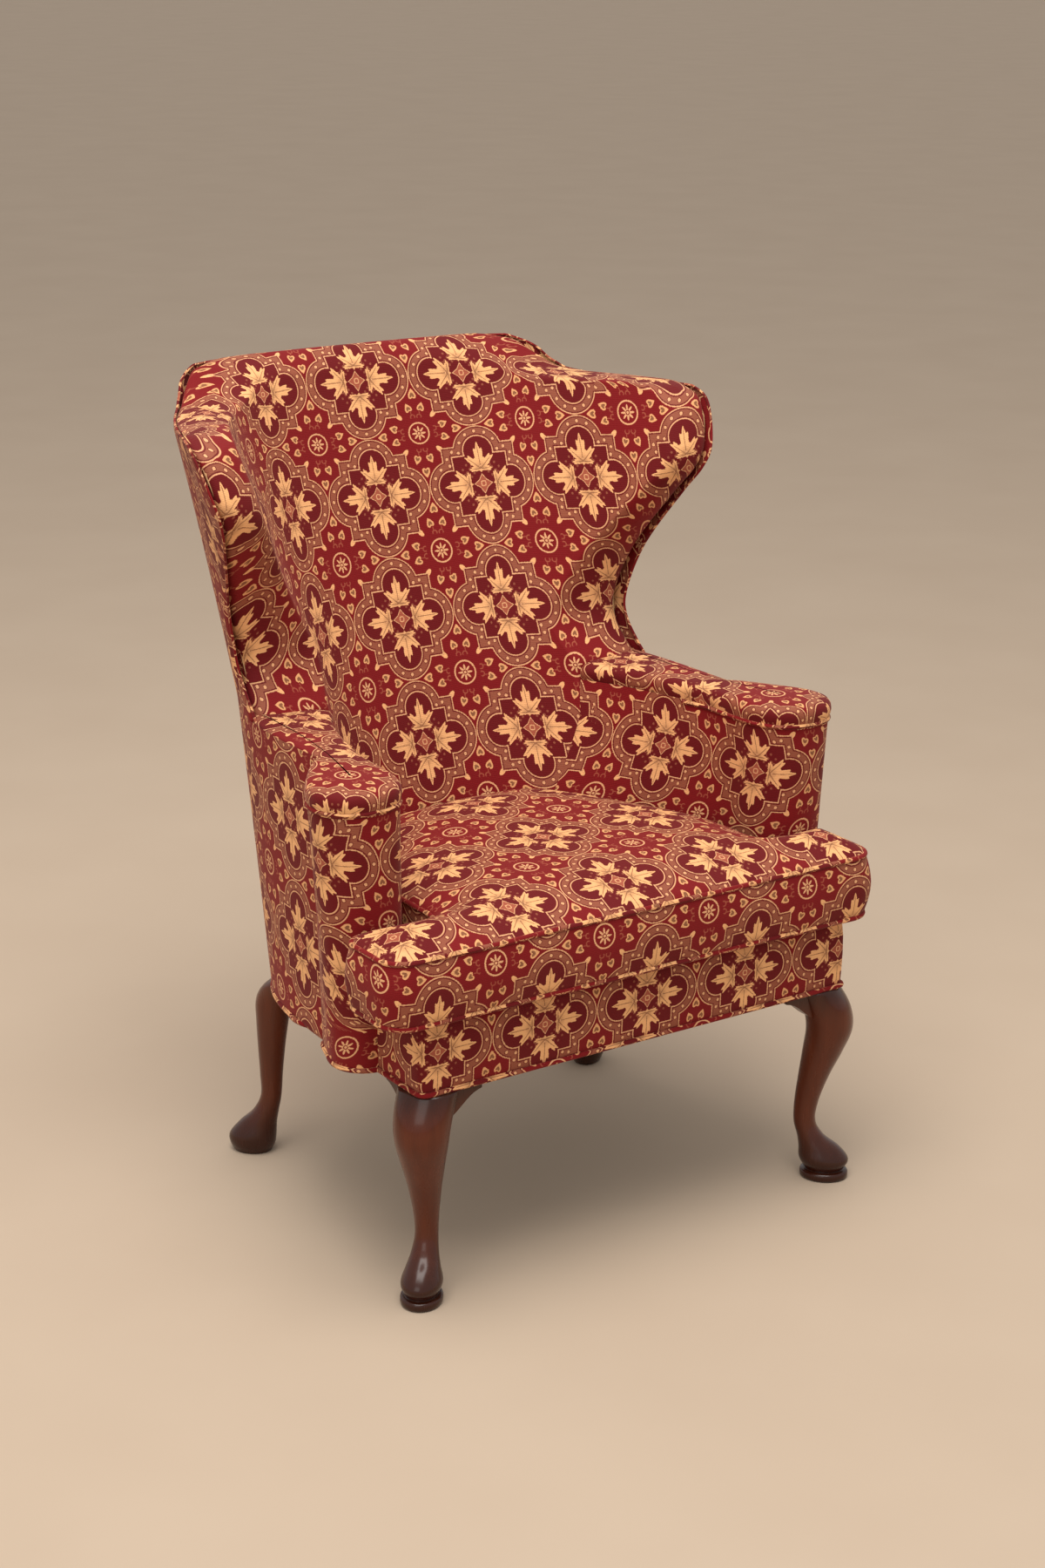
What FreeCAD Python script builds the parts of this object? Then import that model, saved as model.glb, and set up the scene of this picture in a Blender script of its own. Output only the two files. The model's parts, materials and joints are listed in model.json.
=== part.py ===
import FreeCAD, Part
import math
import os
from FreeCAD import Vector

# Wingback armchair. Millimetres, +Z up, the front faces -Y, symmetric about X = 0.
# The origin is on the floor in the middle of the whole chair's depth. Plan depths
# below are measured backwards from the line through the middles of the front feet.

# Overall sizes
leg_height = 283.0            # floor to the underside of the seat rails
rail_height = 88.0            # seat rails, bottom edge to top edge
arm_height = 650.0            # floor to the top of the padded arms
crest_height = 1077.0         # floor to the top of the padded crest

# Seat frame
seat_half_width = 329.0       # middle to the outer face of the front leg posts
wide = seat_half_width / 329.0   # the plan points below are drawn for a half width of 329
front_rail_depth = -8.0       # front rail's outer face
rail_thick = 28.0
front_post_side = 44.0        # square top of each front leg inside the rail corner
rear_post_side = 40.0
rear_post_middle = (seat_half_width - 86.0, 418.0)
side_rail_bow = ((3.0, 150.0), (0.0, 245.0), (-11.0, 310.0), (-43.0, 382.0))   # x from the post's face
back_rail_bow = ((130.0, 478.0), (0.0, 485.0))
rail_end_allowance = 6.0      # how far a curved rail is drawn into the post that trims it
dowel_diameter = 10.0
dowel_length = 44.0
dowel_spacing = 44.0          # between the two dowels of a rail joint
corner_block_half = 58.0      # half the long side of a glued corner block
corner_block_thick = 20.0     # block in front of the post corner
corner_block_height = 60.0
screw_diameter = 5.0
screw_head_diameter = 11.0
screw_head_thick = 3.0
screw_length = 42.0
screw_spacing = 28.0

# Seat suspension: sinuous springs clipped on top of the rails
spring_wire = 3.6
spring_places = ((-165.0, 452.0), (-55.0, 468.0), (55.0, 468.0), (165.0, 452.0))
spring_half_width = 22.0
spring_bends = 13
spring_front = 8.0            # depth of the front ends, over the front rail
clip_length = 14.0
clip_width = 56.0
clip_height = 4.6

# Upholstery
pad_base_rise = 5.0           # underside of deck and pads above the rails' top
deck_thick = 9.0
deck_front = -8.0
deck_half_width = seat_half_width - 1.0
apron_thick = 6.0             # wadding and cover over the front rail
apron_corner_radius = 9.0
apron_return = 85.0           # depth where the apron's side returns meet the arm fronts
dust_cover_thick = 1.0
dust_cover_inset = 26.0       # from the rails' outer faces
dust_notch = 20.0             # its corners are cut clear of the leg posts
pad_share = 0.44              # inside pads, as a share of the wall from inside to outside
frame_share = (0.45, 0.86)    # frame members inside the wall
panel_share = 0.93            # outside panels, cover over board
strap_share = (0.441, 0.449)  # webbing straps behind the inside back
strap_width = 50.0
strap_heights = (540.0, 680.0, 820.0)
edge_roll_thick = 12.0        # stuffing between the frame's edge and the cover
wing_board_width = 42.0
crest_rail_width = 62.0
lower_rail_rise = 70.0        # bottom of the lower back rail above the seat rails
lower_rail_width = 48.0
arm_rail_thick = 30.0
arm_top_pad = 20.0
arm_crown = 13.0              # height of the rounding on top of an arm
arm_crown_inset = 0.16        # how far the crown draws in, as a share of the width
arm_start = 0.30              # where an arm's wall is taken from, behind its seam
arm_post_box = (306.0, 350.0, 104.0, 150.0)
post_span = (0.45, 0.53)      # where the back posts stand along the plan curve
back_seam = 0.50              # outside back to outside wing seam along the plan curve
arm_seam = ((206.0, 355.0), (314.0, 403.0))

# Plan curves of the upholstered wall: one Bezier for the right half, from the middle of the
# back to the front end, with four (x, depth) poles at each of three heights.
wall_heights = (leg_height, arm_height + 10.0, crest_height + 8.0)
outer_poles = (((0, 500), (260, 505), (350, 455), (345, 180)),
               ((0, 610), (270, 612), (345, 560), (322, 200)),
               ((0, 722), (300, 727), (318, 695), (442, 390)))
inner_poles = (((0, 385), (120, 385), (185, 300), (290, 100)),
               ((0, 520), (200, 520), (245, 420), (300, 100)),
               ((0, 677), (250, 677), (262, 630), (410, 330)))

# Padded arm front, a rounded column: plan points low down and at the arm's top
arm_front_low = ((272, 170), (279, 122), (297, 92), (326, 85), (354, 91), (372, 113), (373, 136),
                 (363, 165), (349, 196), (310, 205))
arm_front_top = ((276, 180), (281, 128), (300, 93), (335, 81), (374, 88), (396, 117), (394, 152),
                 (368, 195), (338, 232), (305, 236))

# Side outline of wing and crest, from the arm up: depth, and height as a share of the rise
# from the top of the arm to the crest
wing_rim = ((420, 0.0), (458, 0.098), (468, 0.187), (450, 0.351), (402, 0.539), (378, 0.628),
            (374, 0.703), (398, 0.824), (426, 0.867), (470, 0.885))
crest_step = ((600, 0.888), (640, 0.918), (664, 0.965), (690, 1.0))

# Loose seat cushion
cushion_gap = 0.4             # deck to cushion
cushion_boxing = 86.0         # height of its side band
cushion_crown = 34.0          # rise of its top above the upper welt
cushion_front = -43.0
ear_reach = {-1: 396.0, 1: 362.0}   # end of the left and right ear
ear_depth = 118.0             # front edge to the back of an ear
ear_corner_radius = 36.0
ear_back_radius = 26.0
cushion_neck = 261.0          # half width between the arm fronts
neck_depth = 150.0            # where the neck starts to bend inwards
cushion_back_gap = 8.0
cushion_rear_turn = 20.0      # half the turn of its rounded back, in degrees
cushion_bend = (62.0, 42.0)   # handles of the curve from neck to rounded back
zip_axis_depth = 134.0        # middle of that round back
boxing_draw = 4.0             # how far the side band pulls in at its welts
foam_inset = 14.0
crown_steps = ((8.0, 0.42), (20.0, 0.78), (34.0, 1.0))  # inset, share of the crown's rise
zip_turn = 18.0               # half the turn of the zip, in degrees
zip_depth = 5.0               # how deep its tape lies in the cover
zip_width = 8.0
zip_thick = 1.6
slider_rest_turn = 12.5       # degrees from the middle where the slider rests, zip closed
slider_length = 14.0
slider_width = 9.0
slider_thick = 3.0
slider_air = 0.3
pull_length = 22.0
pull_width = 5.0
pull_thick = 1.4

# Legs. Each row is (share of the leg's height, outward shift, half length, half width).
front_cabriole = ((0.048, 0.0, 27.0, 21.5), (0.098, -1.0, 34.0, 26.5), (0.155, -8.0, 28.0, 22.0),
                  (0.210, -20.0, 18.5, 17.5), (0.285, -29.0, 15.0, 15.0), (0.390, -27.5, 16.5, 16.5),
                  (0.530, -19.0, 21.0, 21.5), (0.670, -8.0, 27.5, 28.5), (0.780, -1.0, 31.5, 34.0),
                  (0.890, -4.0, 33.0, 37.0), (1.000, -16.0, 34.0, 38.0))
rear_cabriole = ((0.000, 0.0, 26.0, 20.0), (0.040, 0.0, 32.0, 25.0), (0.085, -1.0, 33.0, 26.0),
                 (0.150, -9.0, 26.0, 21.0), (0.215, -20.0, 18.0, 17.0), (0.300, -28.0, 14.5, 14.5),
                 (0.420, -29.0, 16.0, 16.0), (0.560, -30.0, 19.0, 19.0), (0.700, -32.0, 22.5, 22.5),
                 (0.800, -34.0, 24.5, 24.5), (0.900, -44.0, 26.0, 26.0), (1.000, -64.0, 27.0, 28.0))
front_foot = (seat_half_width - 2.0, 0.0)
rear_foot = (seat_half_width - 42.0, 505.0)
foot_turn = 45.0              # degrees that each foot points outwards
shoe_height = 12.0            # disc under a front foot
shoe_half_length = 33.0
shoe_half_width = 27.0
bracket_reach = 86.0          # knee bracket, from the corner of the leg post
bracket_drop = 44.0
bracket_thick = 22.0
bracket_tip = 9.0
bracket_scroll = ((0.79, 0.38), (0.58, 0.72))   # shares of reach and drop along its lower edge

crest_share = (crest_height - wall_heights[1]) / (wall_heights[2] - wall_heights[1])
crest_rear = outer_poles[1][0][1] + (outer_poles[2][0][1] - outer_poles[1][0][1]) * crest_share
foot_line = -(cushion_front + crest_rear) / 2      # Y of the line through the front feet
rail_top = leg_height + rail_height
pad_base = rail_top + pad_base_rise
deck_top = pad_base + deck_thick
cushion_bottom = deck_top + cushion_gap
cushion_welt = cushion_bottom + cushion_boxing
far = 1000.0
sides = (("left", -1), ("right", 1))
nodes = {}


def at(x, depth, z):
    return Vector(x, depth + foot_line, z)


def box(x0, x1, depth0, depth1, z0, z1):
    return Part.makeBox(x1 - x0, depth1 - depth0, z1 - z0, at(x0, depth0, z0))


def largest(shape):
    return max(shape.Solids, key=lambda solid: solid.Volume)


def trim(shape, tools):
    for tool in tools:
        shape = shape.cut(tool)
    return largest(shape)


def mirrored(shape):
    return shape.mirror(Vector(0, 0, 0), Vector(1, 0, 0))


def both_sides(name, right_shape):
    nodes[name + "_right"] = right_shape
    nodes[name + "_left"] = mirrored(right_shape)


def closed_curve(points):
    curve = Part.BSplineCurve()
    curve.interpolate(points, PeriodicFlag=True)
    return Part.Wire(curve.toShape())


def open_curve(points):
    curve = Part.BSplineCurve()
    curve.interpolate(points)
    return curve


# Upholstered wall

def wall_poles(share, z):
    """Poles at a share of the wall (0 inside, 1 outside) and a height."""
    low = 0 if z <= wall_heights[1] else 1
    t = (z - wall_heights[low]) / (wall_heights[low + 1] - wall_heights[low])
    poles = []
    for k in range(4):
        levels = []
        for level in (low, low + 1):
            a, b = inner_poles[level][k], outer_poles[level][k]
            levels.append([a[i] + (b[i] - a[i]) * share for i in (0, 1)])
        x, depth = [levels[0][i] + (levels[1][i] - levels[0][i]) * t for i in (0, 1)]
        poles.append([x * wide, depth])
    return poles


def wall_curve(share, z, side=1):
    curve = Part.BezierCurve()
    curve.setPoles([at(side * x, depth, z) for x, depth in wall_poles(share, z)])
    return curve


def plan_edge(share, z, start, end, side):
    curve = wall_curve(share, z, side)
    if (start, end) != (0.0, 1.0):
        curve.segment(start, end)
    return curve.toShape()


def join(a, b):
    return Part.makeLine(a.valueAt(a.LastParameter), b.valueAt(b.LastParameter))


def wall_section(inside, outside, z, start, end, side):
    """Closed plan wire of a stretch of the wall; side 0 spans both halves up to end."""
    if side:
        inner = plan_edge(inside, z, start, end, side)
        outer = plan_edge(outside, z, start, end, side)
        root = Part.makeLine(inner.valueAt(inner.FirstParameter), outer.valueAt(outer.FirstParameter))
        return Part.Wire(Part.__sortEdges__([inner, join(inner, outer), outer, root]))
    edges = []
    for half in (1, -1):
        inner = plan_edge(inside, z, 0.0, end, half)
        outer = plan_edge(outside, z, 0.0, end, half)
        edges += [inner, outer, join(inner, outer)]
    return Part.Wire(Part.__sortEdges__(edges))


def wall(inside, outside, z0, z1, start=0.0, end=1.0, side=0):
    heights = [z0] + [z for z in wall_heights[1:2] if z0 < z < z1] + [z1]
    sections = [wall_section(inside, outside, z, start, end, side) for z in heights]
    return Part.makeLoft(sections, True, True)


def rim_height(share):
    return arm_height + (crest_height - arm_height) * share


def wing_mould(inset, drop=0.0):
    """Everything behind the side outline of wing and crest, drawn in by an inset.

    Below the arm's height less the drop it also takes in all that is in front.
    """
    count = len(wing_rim) - 1
    rim = []
    for k, (depth, share) in enumerate(wing_rim):
        turn = max(0.0, (k - count + 3) / 3.0)
        rim.append(at(0, depth + inset * (1.0 - turn), rim_height(share) - inset * turn))
    last = len(crest_step) - 1
    step = [at(0, depth + inset * k / last, rim_height(share) - inset)
            for k, (depth, share) in enumerate(crest_step)]
    front, rear, floor = -2 * far, 2 * far, -far
    outline = [open_curve(rim).toShape(), Part.makeLine(rim[-1], step[0]), open_curve(step).toShape()]
    foot = arm_height - drop
    corners = [step[-1], Vector(0, rear, step[-1].z), Vector(0, rear, floor), Vector(0, front, floor),
               Vector(0, front, foot)]
    if drop:
        corners.append(Vector(0, rim[0].y, foot))
    corners.append(rim[0])
    outline += [Part.makeLine(a, b) for a, b in zip(corners, corners[1:])]
    face = Part.Face(Part.Wire(outline))
    return face.extrude(Vector(2 * far, 0, 0)).translated(Vector(-far, 0, 0))


def seam_mould(side):
    """Everything in front of the seam between an arm and the inside back."""
    (x0, y0), (x1, y1) = [(x * wide, depth) for x, depth in arm_seam]
    slope = (y1 - y0) / (x1 - x0)
    line = [at(side * x, y0 + slope * (x - x0), 0) for x in (0.0, far)]
    points = [line[0], line[1], line[1] - Vector(0, 2 * far, 0), line[0] - Vector(0, 2 * far, 0)]
    return Part.Face(Part.makePolygon(points + points[:1])).extrude(Vector(0, 0, arm_height))


cover_mould = wing_mould(0.0)
board_mould = wing_mould(edge_roll_thick)
arm_rail_top = arm_height - arm_top_pad
arm_rail_bottom = arm_rail_top - arm_rail_thick
f0, f1 = frame_share

inside_back = wall(0.0, pad_share, pad_base, crest_height).common(cover_mould)
for side in (-1, 1):
    inside_back = inside_back.cut(seam_mould(side))
nodes["inside_back_pad"] = inside_back
back_panel = wall(panel_share, 1.0, leg_height, crest_height, 0.0, back_seam).common(cover_mould)
side_panel = wall(panel_share, 1.0, leg_height, crest_height, back_seam, 1.0, 1).common(cover_mould)
roll = wall(pad_share, panel_share, arm_height, crest_height).common(cover_mould)
nodes["edge_roll"] = roll.cut(wing_mould(edge_roll_thick, 1.0))

# Wooden frame inside the wall
back_post = wall(f0, f1, rail_top, crest_height, *post_span, 1).common(board_mould)
both_sides("back_post", back_post)
crest_bottom = crest_height - edge_roll_thick - crest_rail_width
nodes["crest_rail"] = wall(f0, f1, crest_bottom, crest_height, 0.0, post_span[0]).common(board_mould)
lower_bottom = rail_top + lower_rail_rise
nodes["lower_back_rail"] = wall(f0, f1, lower_bottom, lower_bottom + lower_rail_width, 0.0,
                                post_span[0])
board = wing_mould(edge_roll_thick, arm_top_pad).cut(
    wing_mould(edge_roll_thick + wing_board_width, arm_top_pad))
wing_board = wall(f0, f1, arm_rail_top, crest_height, post_span[1], 1.0, 1).common(board)
both_sides("wing_board", wing_board)
x0, x1 = [x * wide for x in arm_post_box[:2]]
d0, d1 = arm_post_box[2:]
arm_post = box(x0, x1, d0, d1, rail_top, arm_rail_top)
arm_rail = wall(f0, f1, arm_rail_bottom, arm_rail_top, post_span[1], 1.0, 1).cut(arm_post)
both_sides("arm_post", arm_post)
both_sides("arm_rail", arm_rail)
nodes["back_webbing"] = Part.makeCompound(
    [wall(*strap_share, z, z + strap_width, 0.0, post_span[1]) for z in strap_heights])

# Padded arms: a rounded column in front, the wall behind it, and a crowned top on both

def column_section(points, z, shrink=0.0):
    x0 = sum(x for x, d in points) / len(points)
    d0 = sum(d for x, d in points) / len(points)
    keep = 1.0 - shrink
    return closed_curve([at((x0 + (x - x0) * keep) * wide, d0 + (d - d0) * keep, z) for x, d in points])


arm_shoulder = arm_height - arm_crown
inset, span = arm_crown_inset, (arm_start, 1.0, 1)
column = Part.makeLoft([column_section(arm_front_low, leg_height),
                        column_section(arm_front_top, arm_shoulder)], True, True)
column_cap = Part.makeLoft([column_section(arm_front_top, arm_shoulder),
                            column_section(arm_front_top, arm_height, inset)], True, True)
wall_cap = Part.makeLoft([wall_section(0.0, panel_share, arm_shoulder, *span),
                          wall_section(inset, panel_share - inset, arm_height, *span)], True, True)
arm_wall = wall(0.0, panel_share, pad_base, arm_shoulder, *span)
hollow = wall(pad_share, panel_share, pad_base, arm_rail_bottom, *span).cut(column)
arm = arm_wall.fuse(wall_cap).common(seam_mould(1)).cut(hollow).fuse(column).fuse(column_cap)
for member in (arm_post, arm_rail, back_post, wing_board):
    arm = arm.cut(member)
arm = arm.cut(box(0, seat_half_width, -far, far, 0, pad_base))

# Legs

def leg_section(foot, outward, shift, half_length, half_width, z, lean):
    """Squarish oval across a leg, its long axis pointing outwards."""
    along = Vector(math.cos(outward), math.sin(outward), 0)
    across = Vector(-along.y, along.x, 0)
    middle = at(foot[0], foot[1], z) + along * shift + lean
    points = []
    for k in range(12):
        angle = 2 * math.pi * k / 12
        points.append(middle + along * (half_length * math.cos(angle))
                      + across * (half_width * math.sin(angle)))
    return closed_curve(points)


def cabriole_leg(foot, outward, rows, post):
    """S-curved leg lofted from the pad foot up to the knee, with its square post on top."""
    top_shift = rows[-1][1]
    knee = Vector(foot[0] + math.cos(outward) * top_shift, foot[1] + math.sin(outward) * top_shift, 0)
    reach = Vector((post[0] + post[1]) / 2, (post[2] + post[3]) / 2, 0) - knee
    first_lean = rows[-3][0]
    sections = []
    for share, shift, half_length, half_width in rows:
        pull = max(0.0, (share - first_lean) / (1.0 - first_lean)) ** 2
        sections.append(leg_section(foot, outward, shift, half_length, half_width,
                                    leg_height * share, reach * pull))
    leg = Part.makeLoft(sections, True, False)
    return leg.fuse(box(*post, leg_height, rail_top)).removeSplitter()


front_post = (seat_half_width - front_post_side, seat_half_width,
              front_rail_depth, front_rail_depth + front_post_side)
rear_post = (rear_post_middle[0] - rear_post_side / 2, rear_post_middle[0] + rear_post_side / 2,
             rear_post_middle[1] - rear_post_side / 2, rear_post_middle[1] + rear_post_side / 2)
turn = math.radians(foot_turn)
front_leg = cabriole_leg(front_foot, -turn, front_cabriole, front_post)
shoe_edge = leg_section(front_foot, -turn, 0.0, shoe_half_length, shoe_half_width, 0.0, Vector())
shoe = Part.Face(shoe_edge).extrude(Vector(0, 0, shoe_height))
shoe = shoe.makeFillet(2.5, [e for e in shoe.Edges if e.BoundBox.ZLength < 0.1])
neck = Part.Face(leg_section(front_foot, -turn, 0.0, front_cabriole[0][2] - 2, front_cabriole[0][3] - 2,
                             shoe_height, Vector()))
front_leg = front_leg.fuse(neck.extrude(Vector(0, 0, leg_height * front_cabriole[0][0] - shoe_height)))
front_leg = front_leg.fuse(shoe)
rear_leg = cabriole_leg(rear_foot, turn, rear_cabriole, rear_post)


def knee_bracket(run, normal):
    """Scrolled block under a rail, beside the knee: run points along the rail from the corner."""
    corner = at(seat_half_width, front_rail_depth, leg_height)
    tip, drop = corner + run * bracket_reach, bracket_drop
    root = corner + run * (front_post_side * 0.5)
    points = [tip - Vector(0, 0, bracket_tip)]
    points += [corner + run * (bracket_reach * reach) - Vector(0, 0, drop * fall)
               for reach, fall in bracket_scroll]
    lower = open_curve(points + [root - Vector(0, 0, drop)])
    edges = [lower.toShape(), Part.makeLine(root - Vector(0, 0, drop), root),
             Part.makeLine(root, tip), Part.makeLine(tip, tip - Vector(0, 0, bracket_tip))]
    return Part.Face(Part.Wire(edges)).extrude(normal * bracket_thick)


brackets = [knee_bracket(Vector(-1, 0, 0), Vector(0, 1, 0)).cut(front_leg),
            knee_bracket(Vector(0, 1, 0), Vector(-1, 0, 0)).cut(front_leg)]
brackets = [largest(shape) for shape in brackets]
nodes["front_knee_brackets"] = Part.makeCompound(brackets + [mirrored(b) for b in brackets])

# Seat rails

def rail_band(outer):
    """Bowed rail: a band of rail_thick inside a smooth line of plan points."""
    curve = open_curve([Vector(x, y + foot_line, leg_height) for x, y in outer])
    inner = []
    steps = len(outer)
    for k in range(steps):
        u = curve.FirstParameter + (curve.LastParameter - curve.FirstParameter) * k / (steps - 1)
        tangent = curve.tangent(u)[0]
        inner.append(curve.value(u) + Vector(-tangent.y, tangent.x, 0) * rail_thick)
    back = open_curve(inner)
    wire = Part.Wire([curve.toShape(), Part.makeLine(curve.EndPoint, back.EndPoint), back.toShape(),
                      Part.makeLine(back.StartPoint, curve.StartPoint)])
    return Part.Face(wire).extrude(Vector(0, 0, rail_height))


front_post_box = box(*front_post, leg_height, rail_top)
rear_post_box = box(*rear_post, leg_height, rail_top)
front_rail = box(-front_post[0], front_post[0], front_rail_depth, front_rail_depth + rail_thick,
                 leg_height, rail_top)
side_points = [(seat_half_width, front_post[3])]
side_points += [(seat_half_width + x, depth) for x, depth in side_rail_bow]
side_points.append((rear_post[1] - rail_end_allowance, rear_post[3] - rail_end_allowance))
side_rail = rail_band(side_points)
side_rail = side_rail.cut(rear_post_box)
side_rail = largest(side_rail)
right_half = [(rear_post[1] - rail_end_allowance, rear_post[3] - rail_end_allowance)]
right_half += list(back_rail_bow)
back_points = right_half + [(-x, depth) for x, depth in reversed(right_half[:-1])]
back_rail = rail_band(back_points).cut(rear_post_box).cut(mirrored(rear_post_box))
back_rail = largest(back_rail)
arm = arm.cut(side_rail).cut(front_post_box)
arm = largest(arm).removeSplitter()
both_sides("arm_pad", arm)
both_sides("outside_side_panel", side_panel.cut(column).cut(column_cap).cut(rear_leg))
nodes["outside_back_panel"] = back_panel.cut(rear_leg).cut(mirrored(rear_leg))

# Joinery: corner blocks over the posts' inner corners, screws through them, and rail dowels

blocks, screws, dowels = [], [], []
middle_z = leg_height + rail_height / 2
for post, back in ((front_post, -1), (rear_post, 1)):
    corner = at(post[0], post[3] if back < 0 else post[2], middle_z)
    drive = Vector(1, back, 0).normalize()
    across = Vector(-drive.y, drive.x, 0)
    face_middle = corner - drive * corner_block_thick
    outline = [face_middle + across * corner_block_half, face_middle - across * corner_block_half,
               face_middle + drive * corner_block_half]
    lowest = Vector(0, 0, -corner_block_height / 2)
    block = Part.Face(Part.makePolygon(outline + outline[:1])).extrude(Vector(0, 0, corner_block_height))
    block = trim(block.translated(lowest), [front_post_box, rear_post_box, front_rail, side_rail,
                                            back_rail])
    for rise in (-screw_spacing / 2, screw_spacing / 2):
        start = face_middle + Vector(0, 0, rise)
        shank = Part.makeCylinder(screw_diameter / 2, screw_length, start, drive)
        head = Part.makeCylinder(screw_head_diameter / 2, screw_head_thick,
                                 start - drive * screw_head_thick, drive)
        screws.append(shank.fuse(head))
    blocks.append(trim(block, screws[-2:]))

# Rail joints: a middle point on the joint face and the direction of its pair of dowels
rail_joints = (((front_post[0], front_rail_depth + rail_thick / 2), (1.0, 0.0)),
               ((seat_half_width - rail_thick / 2, front_post[3]), (0.0, 1.0)),
               ((rear_post[0], rear_post[3] - 9.0), (-0.94, 0.34)),
               ((rear_post[1] - 6.0, rear_post[2]), (0.6, -0.8)))
for (x, depth), (dx, dy) in rail_joints:
    run = Vector(dx, dy, 0).normalize()
    for rise in (-dowel_spacing / 2, dowel_spacing / 2):
        start = at(x, depth, middle_z + rise) - run * (dowel_length / 2)
        dowels.append(Part.makeCylinder(dowel_diameter / 2, dowel_length, start, run))
blocks = [trim(block, dowels) for block in blocks]
hardware = Part.makeCompound(screws + dowels)
hardware = hardware.fuse(mirrored(hardware))
nodes["corner_blocks"] = Part.makeCompound(blocks + [mirrored(b) for b in blocks])
nodes["leg_screws"] = Part.makeCompound(screws + [mirrored(s) for s in screws])
nodes["rail_dowels"] = Part.makeCompound(dowels + [mirrored(d) for d in dowels])
both_sides("front_leg", front_leg.cut(hardware))
both_sides("rear_leg", rear_leg.cut(hardware))
both_sides("side_seat_rail", side_rail.cut(hardware))
nodes["front_seat_rail"] = front_rail.cut(hardware)
nodes["back_seat_rail"] = back_rail.cut(hardware)

# Seat: springs on clips, deck, apron and dust cover


def sinuous_spring(x, back):
    """One zigzag wire from the front rail to the back rail, flat on the rails."""
    count = spring_bends
    radius = (back - spring_front) / (2 * count)
    half = spring_half_width - radius
    z = rail_top + spring_wire / 2
    edges = []
    first = at(x - half, spring_front, z)
    for k in range(count):
        side = 1 if k % 2 == 0 else -1
        depth = spring_front + 2 * radius * k
        edges.append(Part.makeLine(at(x - side * half, depth, z), at(x + side * half, depth, z)))
        arc = Part.Arc(at(x + side * half, depth, z), at(x + side * (half + radius), depth + radius, z),
                       at(x + side * half, depth + 2 * radius, z))
        edges.append(arc.toShape())
    side = 1 if count % 2 == 0 else -1
    depth = spring_front + 2 * radius * count
    edges.append(Part.makeLine(at(x - side * half, depth, z), at(x + side * half, depth, z)))
    path = Part.Wire(edges)
    w = spring_wire / 2
    corners = [first + Vector(0, a * w, b * w) for a, b in ((1, 1), (-1, 1), (-1, -1), (1, -1))]
    profile = Part.Wire(Part.makePolygon(corners + corners[:1]))
    return path.makePipeShell([profile], True, False)


springs, clips = [], []
for place, last_depth in spring_places:
    x = place * wide
    spring = sinuous_spring(x, last_depth)
    springs.append(spring)
    for depth in (spring_front, last_depth):
        clip = box(x - clip_width / 4, x + clip_width / 4, depth - clip_length / 2,
                   depth + clip_length / 2, rail_top, rail_top + clip_height)
        clips.append(trim(clip, [spring]))
nodes["seat_springs"] = Part.makeCompound(springs)
nodes["spring_clips"] = Part.makeCompound(clips)


def deck_section(z):
    """Plan of the seat platform: the inside of the wall, with ears in front of the arms."""
    halves = [plan_edge(0.0, z, 0.0, 1.0, side) for side in (1, -1)]
    right = halves[0].valueAt(halves[0].LastParameter)
    ear = [right, at(deck_half_width, apron_return, z), at(deck_half_width, deck_front, z)]
    points = ear + [Vector(-p.x, p.y, p.z) for p in reversed(ear)]
    lines = [Part.makeLine(a, b) for a, b in zip(points, points[1:])]
    return Part.Wire(Part.__sortEdges__(halves + lines))


deck = Part.makeLoft([deck_section(pad_base), deck_section(deck_top)], True, True)
deck = trim(deck, [arm, mirrored(arm)])
nodes["seat_deck"] = deck

apron_outer = box(-seat_half_width - apron_thick, seat_half_width + apron_thick,
                  front_rail_depth - apron_thick, apron_return, leg_height, deck_top)
front_corners = [e for e in apron_outer.Edges if e.BoundBox.ZLength > 1
                 and e.BoundBox.YMax < foot_line + front_rail_depth]
apron_outer = apron_outer.makeFillet(apron_corner_radius, front_corners)
apron = apron_outer.cut(box(-seat_half_width, seat_half_width, front_rail_depth, far, 0, far))
apron = trim(apron, [arm, mirrored(arm), side_rail, mirrored(side_rail)])
nodes["apron_cover"] = apron

dust_reach = dust_cover_inset
dust_outline = [at(front_post[1] - dust_reach, front_rail_depth + dust_reach, 0)]
dust_outline += [at(seat_half_width + x - dust_reach, depth, 0) for x, depth in side_rail_bow]
dust_outline += [at(rear_post[1], rear_post[3] - dust_reach, 0),
                 at(back_rail_bow[0][0], back_rail_bow[0][1] - dust_reach, 0)]
dust_outline += [Vector(-p.x, p.y, p.z) for p in reversed(dust_outline)]
dust = Part.Face(Part.makePolygon(dust_outline + dust_outline[:1]))
dust = dust.extrude(Vector(0, 0, dust_cover_thick)).translated(
    Vector(0, 0, leg_height - dust_cover_thick))
notches = [box(front_post[0] - dust_notch, far, -far, front_post[3] + dust_notch, 0, far),
           box(rear_post[0] - dust_notch, far, rear_post[2] - dust_notch, far, 0, far)]
dust = trim(dust, notches + [mirrored(s) for s in notches])
nodes["dust_cover"] = dust

# Loose cushion: T-shaped, with a sprung crown, its foam core, zip tape and slider


def arc(middle, radius, start_angle, end_angle):
    points = [middle + Vector(math.cos(a), math.sin(a), 0) * radius
              for a in (start_angle, (start_angle + end_angle) / 2, end_angle)]
    return Part.Arc(*points).toShape()


def cushion_rear(z):
    """Radius of the rounded back of the cushion at a height."""
    return wall_poles(0.0, z)[0][1] - cushion_back_gap - zip_axis_depth


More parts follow.
